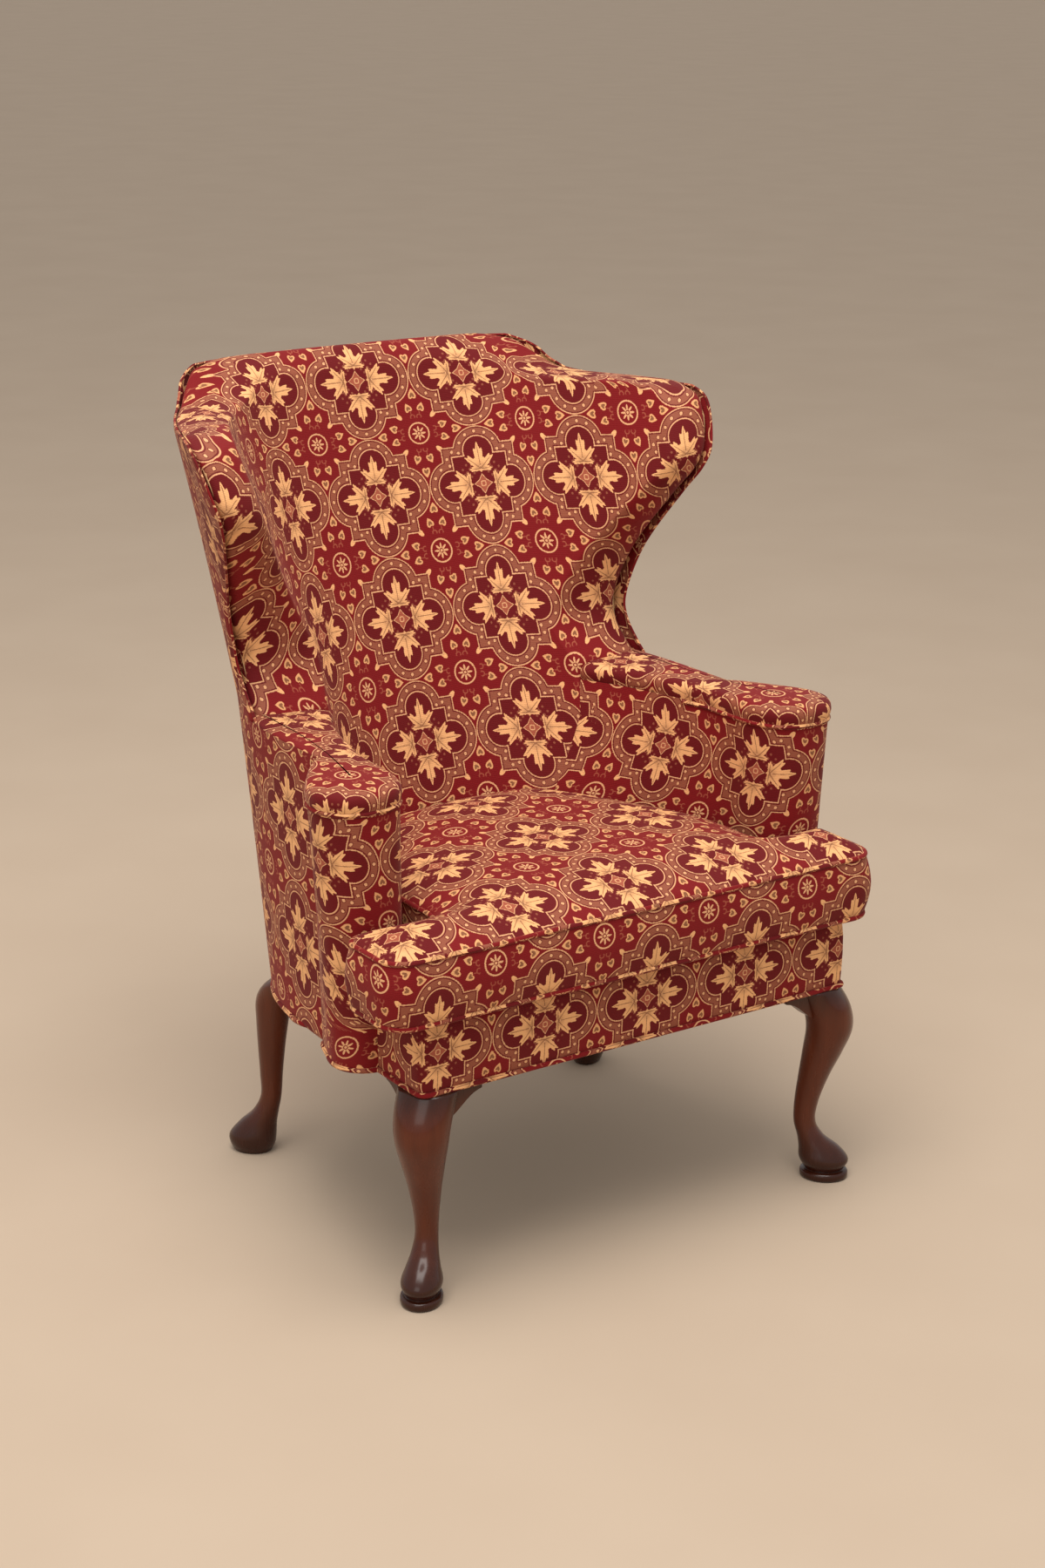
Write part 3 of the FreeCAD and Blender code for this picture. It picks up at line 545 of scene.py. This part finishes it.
DAMASK = damask()
WOOD = lacquered_wood()
NODE_MATERIALS = {
    "frame_wood": plain("frame_wood", srgb(150, 112, 72), srgb(196, 160, 112), 9.0, .7, (3, 3, 16)),
    "webbing": plain("webbing", srgb(150, 120, 78), srgb(190, 164, 118), 220.0, .9),
    "spring_steel": plain("spring_steel", srgb(96, 96, 98), srgb(140, 140, 142), 60.0, .38, metal=1.0),
    "deck_cloth": plain("deck_cloth", srgb(84, 16, 16), srgb(108, 24, 22), 300.0, .9),
    "dust_cloth": plain("dust_cloth", srgb(20, 19, 19), srgb(38, 36, 35), 400.0, .95),
    "foam": plain("foam", srgb(205, 190, 150), srgb(228, 216, 180), 240.0, .95),
    "zip_tape": plain("zip_tape", srgb(74, 12, 14), srgb(98, 20, 20), 500.0, .85),
    "zip_metal": plain("zip_metal", srgb(120, 84, 40), srgb(164, 122, 62), 120.0, .35, metal=1.0),
    "lacquered_wood": WOOD,
}
for part in frame["record"]["subparts"]:
    slot_material = NODE_MATERIALS.get(part["material_slot"])
    if slot_material:
        obj = frame["nodes"][part["node"]]
        obj.data.materials.clear()
        obj.data.materials.append(slot_material)


# Inside back, with the rolled edges of wings and crest

def eased(count, power):
    """0 to 1, with smaller steps close to 1."""
    return 1 - (1 - np.linspace(0, 1, count)) ** power


def back_grid(share, low, columns=72, rows=110):
    """Right half of the wall: way along, height, share of the height, and depth of the rim."""
    across, up = eased(columns, 1.9), eased(rows, 1.7)
    heights = low + (ARM_TOP + (CREST - ARM_TOP) * .885 - low) * up
    (x0, depth0), (x1, depth1) = ARM_SEAM
    slope = (depth1 - depth0) / (x1 - x0)
    u = np.full(rows, .6)
    for _ in range(40):
        x = wall(0.0, u, heights)[..., 0]
        u = .5 * u + .5 * along_for_depth(0.0, heights, depth0 + slope * (x - x0))
    blend = smooth(.560, .640, heights)
    depth = wall(0.0, u, heights)[..., 1] * (1 - blend) + rim_depth(heights) * blend
    side_u = along_for_depth(share, heights, depth)
    top_z = np.full(columns, CREST - .02)
    for _ in range(25):
        top_z = .5 * top_z + .5 * rim_top(wall(share, across * side_u[-1], top_z)[..., 1])
    top_z[-1] = heights[-1]
    A, W = np.meshgrid(across, up)
    centre = low + (top_z[0] - low) * up
    corners = (1 - A) * top_z[0] + A * heights[-1]
    levels = (1 - A) * centre[:, None] + A * heights[:, None] + W * top_z - W * corners
    return A * side_u[:, None], levels, W, np.interp(levels, heights, depth)


def sheet_at(share, ways, levels, up_share, rim):
    """Points of the grid at another share of the wall, its front edge at the same depth."""
    edge = np.minimum(along_for_depth(EDGE_SHARE, levels, rim), 1)
    U = np.clip(ways * along_for_depth(share, levels, rim) / edge, 0, 1)
    reference = wall(EDGE_SHARE, ways, levels)[..., 1]
    moved = wall(share, U, levels)[..., 1]
    Z = levels + (rim_top(moved) - rim_top(reference)) * up_share ** 6
    return place(wall(share, U, Z), Z)


def rim_profile(from_side, from_top, free):
    """How full the wall is, from 0 at its rim to 1 a roll's width inside it."""
    def full(distance, width):
        return np.sqrt(np.clip(1 - (1 - np.clip(distance / width, 0, 1)) ** 2, 0, 1))

    return full(from_side, ROLL * (.35 + .65 * free)) * full(from_top, ROLL)


def pattern_back(P, levels, from_top):
    """Length across and height of the cloth on the inside back, bent over with the roll."""
    across, up = run_across(P), run_up(P)
    flat = levels - .17 * across ** 2
    columns = np.arange(P.shape[1])
    first = np.argmax(from_top < ROLL, 0)
    on_roll = np.arange(len(P))[:, None] >= first
    return across, np.where(on_roll, flat[first, columns] + (up - up[first, columns]), flat)


def both_halves(P):
    """The right half's grid with its mirror image, joined at the middle column."""
    return np.concatenate([P[:, :0:-1] * (-1, 1, 1), P], 1)


def back_uv(across, height):
    """Cloth coordinates of both halves, fitted to the pattern's places in the photograph."""
    U = (np.concatenate([-across[:, :0:-1], across], 1) + .015) / .1655
    V = (np.concatenate([height[:, :0:-1], height], 1) - .556) / .1622
    return np.stack([U, V], -1)


def inside_back():
    """One cover for the inside back and the wings' inner sides, its edge rolled to the outside."""
    ways, levels, up_share, rim = back_grid(EDGE_SHARE, BACK_LOW)
    middle = place(wall(.3, ways, levels), levels)
    from_side = run_across(middle[:, ::-1])[:, ::-1]
    from_top = run_up(middle[::-1])[::-1]
    free = smooth(.595, .645, levels)
    full = rim_profile(from_side, from_top, free)
    inner = sheet_at((1 - full) * (EDGE_SHARE * free + .10 * (1 - free)), ways, levels, up_share, rim)
    outer = sheet_at(EDGE_SHARE + .44 * full, ways, levels, up_share, rim)
    across, height = pattern_back(inner, levels, from_top)
    by_side = from_side < from_top
    round_side = across[:, -1:] + run_across(outer[:, ::-1])[:, ::-1]
    over_top = height[-1:] + run_up(outer[::-1])[::-1]
    outer_uv = back_uv(np.where(by_side, round_side, across), np.where(by_side, height, over_top))
    strip = ((np.minimum(from_side, from_top) < .046) & (levels > .600))[:-1, :-1]
    keep = np.concatenate([strip[:, ::-1], strip], 1)
    verts = np.concatenate([both_halves(inner), both_halves(outer)])
    uv = np.concatenate([back_uv(across, height), outer_uv])
    rows, columns = len(inner), verts.shape[1]
    faces = flip(grid_faces(rows, columns)) + grid_faces(rows, columns, keep, start=rows * columns)
    used = sorted({i for face in faces for i in face})
    index = {old: new for new, old in enumerate(used)}
    faces = [[index[i] for i in face] for face in faces]
    return cover("inside_back_cover", verts.reshape(-1, 3)[used], uv.reshape(-1, 2)[used], faces,
                 ("inside_back_pad", "edge_roll"))


inside_back()


# Outside covers: back, and wing with arm on each side

def outside_cover(u0, u1, z0, z1, front, soft_low, soft_high, sign, u_anchor=.060):
    """Outside panel from one way along the wall to another, or to a front depth if u1 is None."""
    columns, rows = 40, 90
    across, up = np.linspace(0, 1, columns)[None, :], np.linspace(0, 1, rows)[:, None]

    def end_at(z):
        return along_for_depth(1.0, z, front(z)) if u1 is None else np.full_like(z, u1)

    Z = np.broadcast_to(z0 + (z1 - z0) * up, (rows, columns))
    if z1 > ARM_TOP + .1:
        top_z = np.full(columns, CREST - .02)
        for _ in range(40):
            way = u0 + (end_at(top_z) - u0) * across[0]
            top_z = .5 * top_z + .5 * rim_top(wall(1.0, way, top_z)[..., 1])
        Z = z0 + (top_z - .006 - z0) * up
    U = u0 + (end_at(Z) - u0) * across
    edge = np.minimum(across, 1 - across) * 22
    if soft_high:
        edge = np.minimum(edge, (1 - up) * 40)
    if soft_low:
        edge = np.minimum(edge, up * 60)
    P = place(wall(.955 + .05 * np.sqrt(np.clip(edge, 0, 1)), U, Z), Z)
    uv = np.stack([sign * (run_across(P) - u_anchor) / PERIOD, (Z - .393) / PERIOD], -1)
    P[..., 0] *= sign
    faces = grid_faces(rows, columns)
    return P, uv, faces if sign > 0 else flip(faces)


def wing_front(z):
    return rim_depth(z) + .006


def arm_front(z):
    return np.full_like(z, .175)


for side_name, sign in SIDES:
    P, uv, faces = outside_cover(.5, None, .6415, CREST, wing_front, False, True, sign)
    obj = cover("outside_wing_cover_" + side_name, P, uv, faces, ("outside_side_panel_" + side_name,))
    edge = np.vstack([P[1:, -1], P[-1, -2::-1]])
    tube("wing_seam_" + side_name, edge, SEAM_RADIUS, DAMASK, sides=8)
    P, uv, faces = outside_cover(.5, None, LEG_TOP - .001, .6485, arm_front, True, False, sign)
    obj = cover("outside_arm_cover_" + side_name, P, uv, faces)

P, uv, _ = outside_cover(0.0, .5, LEG_TOP - .001, CREST, None, True, True, 1, 0.0)
P = both_halves(P)
uv = np.concatenate([uv[:, :0:-1] * (-1, 1), uv], 1)
obj = cover("outside_back_cover", P, uv, grid_faces(*P.shape[:2]), ("outside_back_panel",))
tube("crest_seam", P[-1], SEAM_RADIUS, DAMASK, sides=8)


# Arms: a cover wrapped round the front, and a pad on top with a rounded tongue

# Rings of the pad: reach from its middle line and rise over the arm's top
PAD_PROFILE = ((1.00, -.030), (1.004, -.024), (1.03, -.019), (1.045, -.013), (1.03, -.0065), (.98, -.0022),
               (.90, .0), (.78, .0012), (.60, .0022), (.40, .0030), (.20, .0035), (.02, .0037))
PAD_BACK, PAD_FRONT = np.array((.300, .435)), np.array((.336, .146))


def arm_outline(z, count=96):
    """Plan line of an arm, from the seam with the inside back, round the front, to the outside seam."""
    t = min(max((z - LEG_TOP) / (PAD_LOW - LEG_TOP), 0), 1)
    column = COLUMN_LOW * (1 - t) + COLUMN_TOP * t
    height = np.array([z])
    start = along_for_depth(0.0, height, .405 + .012 * smooth(.57, .63, z))[0]
    end = along_for_depth(0.0, height, .225)[0]
    inside = wall(0.0, np.linspace(start, end, 9), z)
    return spline(np.vstack([inside, column]), count)


def run_at(P, x, depth):
    """Mean length along a grid's rows to their points nearest a place on the plan."""
    runs = []
    for row in P:
        away = np.hypot(row[:, 0] - x, row[:, 1] - FOOT_LINE - depth)
        runs.append(lengths(row)[np.argmin(away)])
    return np.mean(runs)


def arm_cover(sign):
    """Cover wrapped round an arm's front, up to the lip under its pad."""
    P = np.array([place(arm_outline(z), z) for z in np.linspace(LEG_TOP, ARM_LIP, 44)])
    if sign > 0:
        U = (run_across(P) - run_at(P, .282, .162)) / .164
    else:
        U = -(run_across(P) - run_at(P, .378, .093)) / .166
        P[..., 0] *= -1
    V = (P[..., 2] - .559) / PERIOD
    faces = grid_faces(*P.shape[:2])
    return P, np.stack([U, V], -1), faces if sign > 0 else flip(faces)


def top_outline(count=150):
    """Closed plan line of the pad on top of an arm."""
    z = np.full(8, PAD_LOW)
    outside = wall(.98, along_for_depth(.98, z, np.linspace(.235, .455, 8)), z)
    corner = wall(0.0, along_for_depth(0.0, z[:1], .425), z[:1]) + (.02, 0)
    return spline(np.vstack([corner, arm_outline(PAD_LOW, 90)[::3], outside]), count)


def arm_top(sign):
    """Crowned pad: rings drawn in from the outline towards a line along its middle."""
    outline = top_outline()
    t = np.clip((PAD_BACK[1] - outline[:, 1]) / (PAD_BACK[1] - PAD_FRONT[1]), 0, 1)
    spine = PAD_BACK + (PAD_FRONT - PAD_BACK) * t[:, None]
    spine[:, 0] -= .012 * np.sin(np.pi * t)
    out = outline - spine
    P = np.array([place(spine + out * reach, ARM_TOP + rise) for reach, rise in PAD_PROFILE])
    out /= np.linalg.norm(out, axis=1)[:, None]
    flat = spine + out * run_up(P[::-1])[::-1][..., None]
    U = (flat[..., 0] - .330) / .15 + (.5 if sign > 0 else .45)
    V = (flat[..., 1] - .150) / PERIOD + .5
    if sign < 0:
        P[..., 0] *= -1
        U = -U
    faces = grid_faces(*P.shape[:2], closed=True)
    return P, np.stack([U, V], -1), faces if sign > 0 else flip(faces)


for side_name, sign in SIDES:
    P, uv, faces = arm_cover(sign)
    obj = cover("arm_cover_" + side_name, P, uv, faces, ("arm_pad_" + side_name,))
    P, uv, faces = arm_top(sign)
    obj = cover("arm_top_cover_" + side_name, P, uv, faces)
    lip = arm_outline(.626, 150)[40:]
    tube("arm_welt_" + side_name, place(lip * (sign, 1), .6245), ARM_WELT, DAMASK)


# Apron over the front rail, with a rounded corner at each end

# Rows of the apron: height, and how far it stands out
APRON_PROFILE = ((LEG_TOP, -.0010), (LEG_TOP + .002, .0), (.30, .0012), (.33, .0022), (.355, .0018),
                 (.370, .0), (.378, -.003), (.3835, -.008), (.3850, -.016), (.3850, -.030))


def apron():
    """Grid and cloth coordinates of the apron, and its plan line."""
    half, front, back_depth = SEAT_HALF + .006, -.014, .090
    right = np.array([(half, back_depth), (half, .02), (half, front + .012), (half - .0035, front + .0035),
                      (half - .012, front), (half - .04, front), (.2, front), (.1, front), (0, front)])
    line = resample(spline(np.vstack([right, right[-2::-1] * (-1, 1)]), 900), 340)
    d = np.gradient(line, axis=0)
    d /= np.linalg.norm(d, axis=1)[:, None]
    out = np.c_[-d[:, 1], d[:, 0]]
    out *= np.sign((out * line).sum(1).mean())
    P = np.array([place(line + out * push, z) for z, push in APRON_PROFILE])
    run = lengths(line)
    up = lengths(P[:, len(line) // 2])
    U = np.broadcast_to((run[-1] / 2 - run - .004) / .1585, P.shape[:2])
    V = np.broadcast_to(((LEG_TOP + up - .341) / .16)[:, None], P.shape[:2])
    return P, np.stack([U, V], -1), line


P, uv, apron_line = apron()
obj = cover("apron_front_cover", P, uv, flip(grid_faces(*P.shape[:2])), ("apron_cover",))
WELT_HEIGHT = LEG_TOP + .003
tube("apron_welt", place(apron_line * (1.004, 1) - (0, .0015), WELT_HEIGHT), WELT_RADIUS, DAMASK)
for side_name, sign in SIDES:
    round_front = arm_outline(LEG_TOP, 150)[75:]
    behind = wall(1.0, np.linspace(.90, .0, 60), LEG_TOP)
    line = resample(spline(np.vstack([round_front, behind])[::4], 500), 300)
    tube("base_welt_" + side_name, place(line * (sign, 1), WELT_HEIGHT), WELT_RADIUS, DAMASK)


# Loose cushion

CUSHION_TOP, CROWN_FOOT, CROWN_REACH = .5054, .4755, .125
BOX_LOW, BOX_HIGH, BOX_DEPTH, BOX_FIRST = .3905, .4735, .083, 3
REACH = {1: .362, -1: .394}
ZIP_AXIS, ZIP_HEIGHT, ZIP_RADIUS = .134, .4284, .2886
CUSHION_POINTS, LATTICE = 420, .0125


def arc_points(cx, cy, r, a0, a1, n):
    a = np.linspace(a0, a1, n)
    return np.c_[cx + r * np.cos(a), cy + r * np.sin(a)]


def cushion_plan(z, inset):
    """Closed plan of the T-shaped cushion, drawn in by an inset; it starts at the front middle."""
    halves = []
    for side in (1, -1):
        front, rear = -.043 + inset, .075 - inset
        reach, neck = REACH[side] - inset, .261 - inset
        r1, r2 = max(.036 - .6 * inset, .008), max(.026 - .6 * inset, .006)
        line = [np.array([(0, front), (.15, front)])]
        line.append(arc_points(reach - r1, front + r1, r1, -math.pi / 2, 0, 12))
        line.append(arc_points(reach - r2, rear - r2, r2, 0, math.pi / 2, 10))
        line.append(np.array([(neck + .012, rear + .001), (neck + .003, rear + .006), (neck, rear + .020)]))
        radius = wall(0.0, np.array([0.0]), np.array([z]))[0, 1] - .008 - ZIP_AXIS - inset
        turn = math.radians(20)
        end = np.array((radius * math.sin(turn), ZIP_AXIS + radius * math.cos(turn)))
        ahead = np.array((math.cos(turn), -math.sin(turn)))
        poles = np.array([(neck, .150), (neck, .212), end + .042 * ahead, end])
        t = np.linspace(0, 1, 30)[:, None]
        line.append((1 - t) ** 3 * poles[0] + 3 * t * (1 - t) ** 2 * poles[1]
                    + 3 * t * t * (1 - t) * poles[2] + t ** 3 * poles[3])
        line.append(arc_points(0, ZIP_AXIS, radius, math.pi / 2 - turn, math.pi / 2, 12)[1:])
        halves.append(np.vstack(line) * (side, 1))
    loop = np.vstack([halves[0], halves[1][-2:0:-1]])
    return resample(np.vstack([loop, loop[:1]]), CUSHION_POINTS + 1)[:-1]


def uneven(P, size, amount):
    """Slight waves over a grid of points."""
    waves = [noise.noise(Vector(p) * size) for p in P.reshape(-1, 3)]
    return np.array(waves).reshape(P.shape[:-1]) * amount


def crown_height(points, outline):
    """Height of the crowned top, rising away from the boxing's outline."""
    away = np.hypot(points[:, None, 0] - outline[None, ::2, 0], points[:, None, 1] - outline[None, ::2, 1])
    slack = np.clip(1 - np.min(away, 1) / CROWN_REACH, 0, 1)
    waves = [noise.noise(Vector((p[0] * 7, p[1] * 7, 1.7))) for p in points]
    return CROWN_FOOT + (CUSHION_TOP + .003 - CROWN_FOOT) * (1 - slack ** 2.4) + np.array(waves) * .0030


def cushion_rows():
    """Height and inset of every ring, from the underside up, and the place of the boxing's last."""
    rows = [(.3870, .040), (.3858, .016), (.3866, .006), (BOX_LOW, .0035)]
    heights = [z for z in np.linspace(BOX_LOW, BOX_HIGH, 15)[1:-1] if abs(z - ZIP_HEIGHT) > .008]
    heights += [ZIP_HEIGHT + step for step in (-.0063, -.0053, 0, .0053, .0063)]
    for z in sorted(heights):
        rows.append((z, .0035 - .0075 * math.sin(math.pi * (z - BOX_LOW) / BOX_DEPTH) ** .8))
    rows.append((BOX_HIGH, .0035))
    crown = [(.4765, .0075), (.4815, .014), (.4868, .022), (.4912, .031), (.4950, .042)]
    return rows + crown, len(rows) - 1


def cushion_rings():
    """The rings with their waves, the groove of the zip and the foot of the crown."""
    rows, box_last = cushion_rows()
    P = np.array([place(cushion_plan(z, inset), z) for z, inset in rows])
    waves = uneven(P, 9.0, .0028) + uneven(P, 26.0, .0010)
    d = np.roll(P, -1, 1) - np.roll(P, 1, 1)
    out = np.stack([d[..., 1], -d[..., 0]], -1)
    out /= np.linalg.norm(out, axis=2)[..., None]
    body = slice(1, box_last + 1)
    P[body, :, :2] += out[body] * waves[body, :, None] * .8
    from_axis = P[..., :2] - (0, ZIP_AXIS + FOOT_LINE)
    radius = np.linalg.norm(from_axis, axis=2)
    turn = np.degrees(np.arctan2(from_axis[..., 0], from_axis[..., 1]))
    groove = (np.abs(turn) < 17.8) & (np.abs(P[..., 2] - ZIP_HEIGHT) < .0056)
    P[..., :2] -= (from_axis * (1 - ZIP_RADIUS / radius)[..., None]) * groove[..., None]
    for ring in P[box_last + 1:]:
        ring[:, 2] = crown_height(ring, P[box_last])
    return P, box_last


def inside_polygon(x, y, poly):
    x0, y0 = poly[:, 0], poly[:, 1]
    x1, y1 = np.roll(x0, -1), np.roll(y0, -1)
    hit = (y0 > y) != (y1 > y)
    cut = x0 + (y - y0) / np.where(y1 == y0, 1e-12, y1 - y0) * (x1 - x0)
    return bool(np.sum(hit & (x < cut)) % 2)


def cushion_top(ring, outline):
    """Points and triangles of the top inside its last ring, lattice points lifted to the crown."""
    poly = ring[:, :2]
    inner = []
    for y in np.arange(-.05 + FOOT_LINE, .50 + FOOT_LINE, LATTICE):
        for x in np.arange(-.40, .40, LATTICE):
            if inside_polygon(x, y, poly) and np.min(np.hypot(poly[:, 0] - x, poly[:, 1] - y)) > .0085:
                inner.append((x, y))
    points = [Vector(p) for p in poly] + [Vector(p) for p in inner]
    edges = [(i, (i + 1) % len(poly)) for i in range(len(poly))]
    result = delaunay_2d_cdt(points, edges, [], 1, 1e-6)
    flat = np.array([tuple(v) for v in result[0]])
    return np.c_[flat, crown_height(flat, outline)], [tuple(t) for t in result[2]]


def planar(P):
    """Cloth coordinates of the cushion's top and underside, as seen from above."""
    return np.stack([(P[..., 0] + .028) / .166, (P[..., 1] - FOOT_LINE - .175) / .166], -1)


def cushion():
    """The cushion's cover, with the lines of its lower and upper welt."""
    P, box_last = cushion_rings()
    top, triangles = cushion_top(P[-1], P[box_last])
    crown, under = P[box_last:], P[:BOX_FIRST + 1]
    half = CUSHION_POINTS // 2
    boxing = np.roll(P[BOX_FIRST:box_last + 1], half, 1)
    boxing = np.concatenate([boxing, boxing[:, :1]], 1)
    run = run_across(boxing)
    boxing_uv = np.stack([(run - run[:, half:half + 1] + .005) / .1627, (boxing[..., 2] - .372) / PERIOD], -1)
    pieces = (
        (crown, grid_faces(*crown.shape[:2], closed=True), planar(crown)),
        (top, triangles, planar(top)),
        (boxing, grid_faces(*boxing.shape[:2]), boxing_uv),
        (under, grid_faces(*under.shape[:2], closed=True), planar(under)),
        (P[0], [tuple(range(CUSHION_POINTS - 1, -1, -1))], planar(P[0])),
    )
    verts, faces, uv = [], [], []
    for points, piece_faces, coords in pieces:
        start = len(verts)
        verts.extend(points.reshape(-1, 3))
        uv.extend(coords.reshape(-1, 2))
        faces.extend([tuple(start + i for i in face) for face in piece_faces])
    obj = new_object("cushion_damask_cover", verts, faces, uv, DAMASK, "cushion",
                     ("cushion_cover",))
    return obj, P[BOX_FIRST], P[box_last]


cushion_object, low_line, high_line = cushion()
tube("cushion_welt_low", low_line, CUSHION_WELT, DAMASK, True, "cushion")
tube("cushion_welt_high", high_line, CUSHION_WELT, DAMASK, True, "cushion")


# Legs

# Rows: share of the leg's height; shift outwards, half length and half width in millimetres
FRONT_ROWS = ((.048, 0, 27, 21.5), (.098, -1, 34, 26.5), (.155, -8, 28, 22), (.210, -20, 18.5, 17.5),
              (.285, -29, 15, 15), (.390, -27.5, 16.5, 16.5), (.530, -19, 21, 21.5), (.670, -8, 27.5, 28.5),
              (.780, -1, 31.5, 34), (.890, -4, 33, 37), (1.0, -16, 34, 38))
REAR_ROWS = ((0, 0, 26, 20), (.040, 0, 32, 25), (.085, -1, 33, 26), (.150, -9, 26, 21), (.215, -20, 18, 17),
             (.300, -28, 14.5, 14.5), (.420, -29, 16, 16), (.560, -30, 19, 19), (.700, -32, 22.5, 22.5),
             (.800, -34, 24.5, 24.5), (.900, -44, 26, 26), (1.0, -64, 27, 28))
# Rows of the disc under a front foot, in metres
SHOE_ROWS = ((0.0, 0, .030, .024), (.0015, 0, .0322, .0262), (.004, 0, .033, .027), (.009, 0, .033, .027),
             (.0112, 0, .0318, .0258), (.0118, 0, .0285, .0225), (.0122, 0, .0262, .0205),
             (.0130, 0, .0258, .0202))
# End of the chair, foot and post on the plan, rows, way the knee points, whether it has a disc
LEGS = (("front", (.327, 0.0), (.307, .014), FRONT_ROWS, -1, True),
        ("rear", (.287, .505), (.243, .418), REAR_ROWS, 1, False))
LEG_SIDES = 48


def leg(name, foot, post, rows, outward, shoe, replaces):
    """Cabriole leg: oval rings along an S-shaped line that leans to its post at the top."""
    away = np.array((math.cos(outward), math.sin(outward)))
    across = np.array((-away[1], away[0]))
    reach = post - (foot + rows[-1][1] / 1000 * away)
    lean_from = rows[-3][0]
    line = spline([(r[0] * LEG_TOP, r[1] / 1000, r[2] / 1000, r[3] / 1000) for r in rows], 90)
    if shoe:
        line = np.vstack([SHOE_ROWS, line])
    angle = np.linspace(0, 2 * math.pi, LEG_SIDES, endpoint=False)[:, None]
    rings = []
    for z, shift, a, b in line:
        pull = max(0.0, (z / LEG_TOP - lean_from) / (1 - lean_from)) ** 2
        middle = foot + shift * away + reach * pull
        rings.append(place(middle + a * np.cos(angle) * away + b * np.sin(angle) * across, z))
    faces = grid_faces(len(rings), LEG_SIDES, closed=True)
    faces.append(tuple(range(LEG_SIDES - 1, -1, -1)))
    faces.append(tuple((len(rings) - 1) * LEG_SIDES + k for k in range(LEG_SIDES)))
    new_object(name, np.array(rings).reshape(-1, 3), faces, None, WOOD,
               replaces=replaces)


for side_name, sign in SIDES:
    for end_name, foot, post, rows, depth_sign, shoe in LEGS:
        outward = depth_sign * math.pi / 4
        outward = outward if sign > 0 else math.pi - outward
        leg(end_name + "_cabriole_" + side_name, np.array(foot) * (sign, 1), np.array(post) * (sign, 1),
            rows, outward, shoe, (end_name + "_leg_" + side_name,))


# Floor, light and camera

floor_mesh = bpy.data.meshes.new("floor")
floor_mesh.from_pydata([(-40, -40, 0), (40, -40, 0), (40, 40, 0), (-40, 40, 0)], [], [(0, 1, 2, 3)])
floor = bpy.data.objects.new("floor", floor_mesh)
bpy.context.scene.collection.objects.link(floor)
n = Nodes("floor_paper")
n.set(Base_Color=n.mix(n.noise(n.node("ShaderNodeTexCoord").outputs["Object"], 3.0, 3.0),
                       srgb(184, 164, 143), srgb(192, 173, 152)))
n.set(Roughness=.9)
floor_mesh.materials.append(n.material)

world = bpy.data.worlds.new("studio")
bpy.context.scene.world = world
world.use_nodes = True
background = world.node_tree.nodes["Background"]
background.inputs["Color"].default_value = (1.0, .97, .94, 1)
background.inputs["Strength"].default_value = .62


def lamp(name, position, target, size, power):
    light = bpy.data.lights.new(name, "AREA")
    light.energy, light.size = power, size
    light.color = (1.0, .96, .91)
    obj = bpy.data.objects.new(name, light)
    obj.location = position
    direction = Vector(target) - Vector(position)
    obj.rotation_euler = direction.to_track_quat("-Z", "Y").to_euler()
    bpy.context.scene.collection.objects.link(obj)


lamp("key_above", (-.8, -.8, 4.6), (0, 0, .5), 3.0, 190)
lamp("fill_front", (-3.0, -2.4, 2.2), (0, 0, .6), 2.0, 20)

# Camera fitted to the photograph: angles in degrees, focal length in its pixels
PHOTO_HEIGHT, FOCAL_LENGTH, SENSOR = 1800, 3240.97, 36.0
CAMERA_TURN, CAMERA_PITCH, CAMERA_ROLL = 34.417, 17.979, .522
CAMERA_PLACE = (-2.01603, -2.67826 + FOOT_LINE, 1.70884)
camera_data = bpy.data.cameras.new("camera")
camera_data.sensor_width = SENSOR
camera_data.lens = FOCAL_LENGTH / PHOTO_HEIGHT * SENSOR
camera = bpy.data.objects.new("camera", camera_data)
turn, pitch, roll = (math.radians(a) for a in (CAMERA_TURN, CAMERA_PITCH, CAMERA_ROLL))
forward = Vector((math.sin(turn) * math.cos(pitch), math.cos(turn) * math.cos(pitch), -math.sin(pitch)))
right = Vector((math.cos(turn), -math.sin(turn), 0))
up = right.cross(forward)
right_turned = right * math.cos(roll) + up * math.sin(roll)
up_turned = up * math.cos(roll) - right * math.sin(roll)
matrix = Matrix((right_turned, up_turned, -forward)).transposed().to_4x4()
matrix.translation = Vector(CAMERA_PLACE)
camera.matrix_world = matrix
bpy.context.scene.collection.objects.link(camera)
bpy.context.scene.camera = camera
bpy.context.scene.view_settings.view_transform = "Standard"
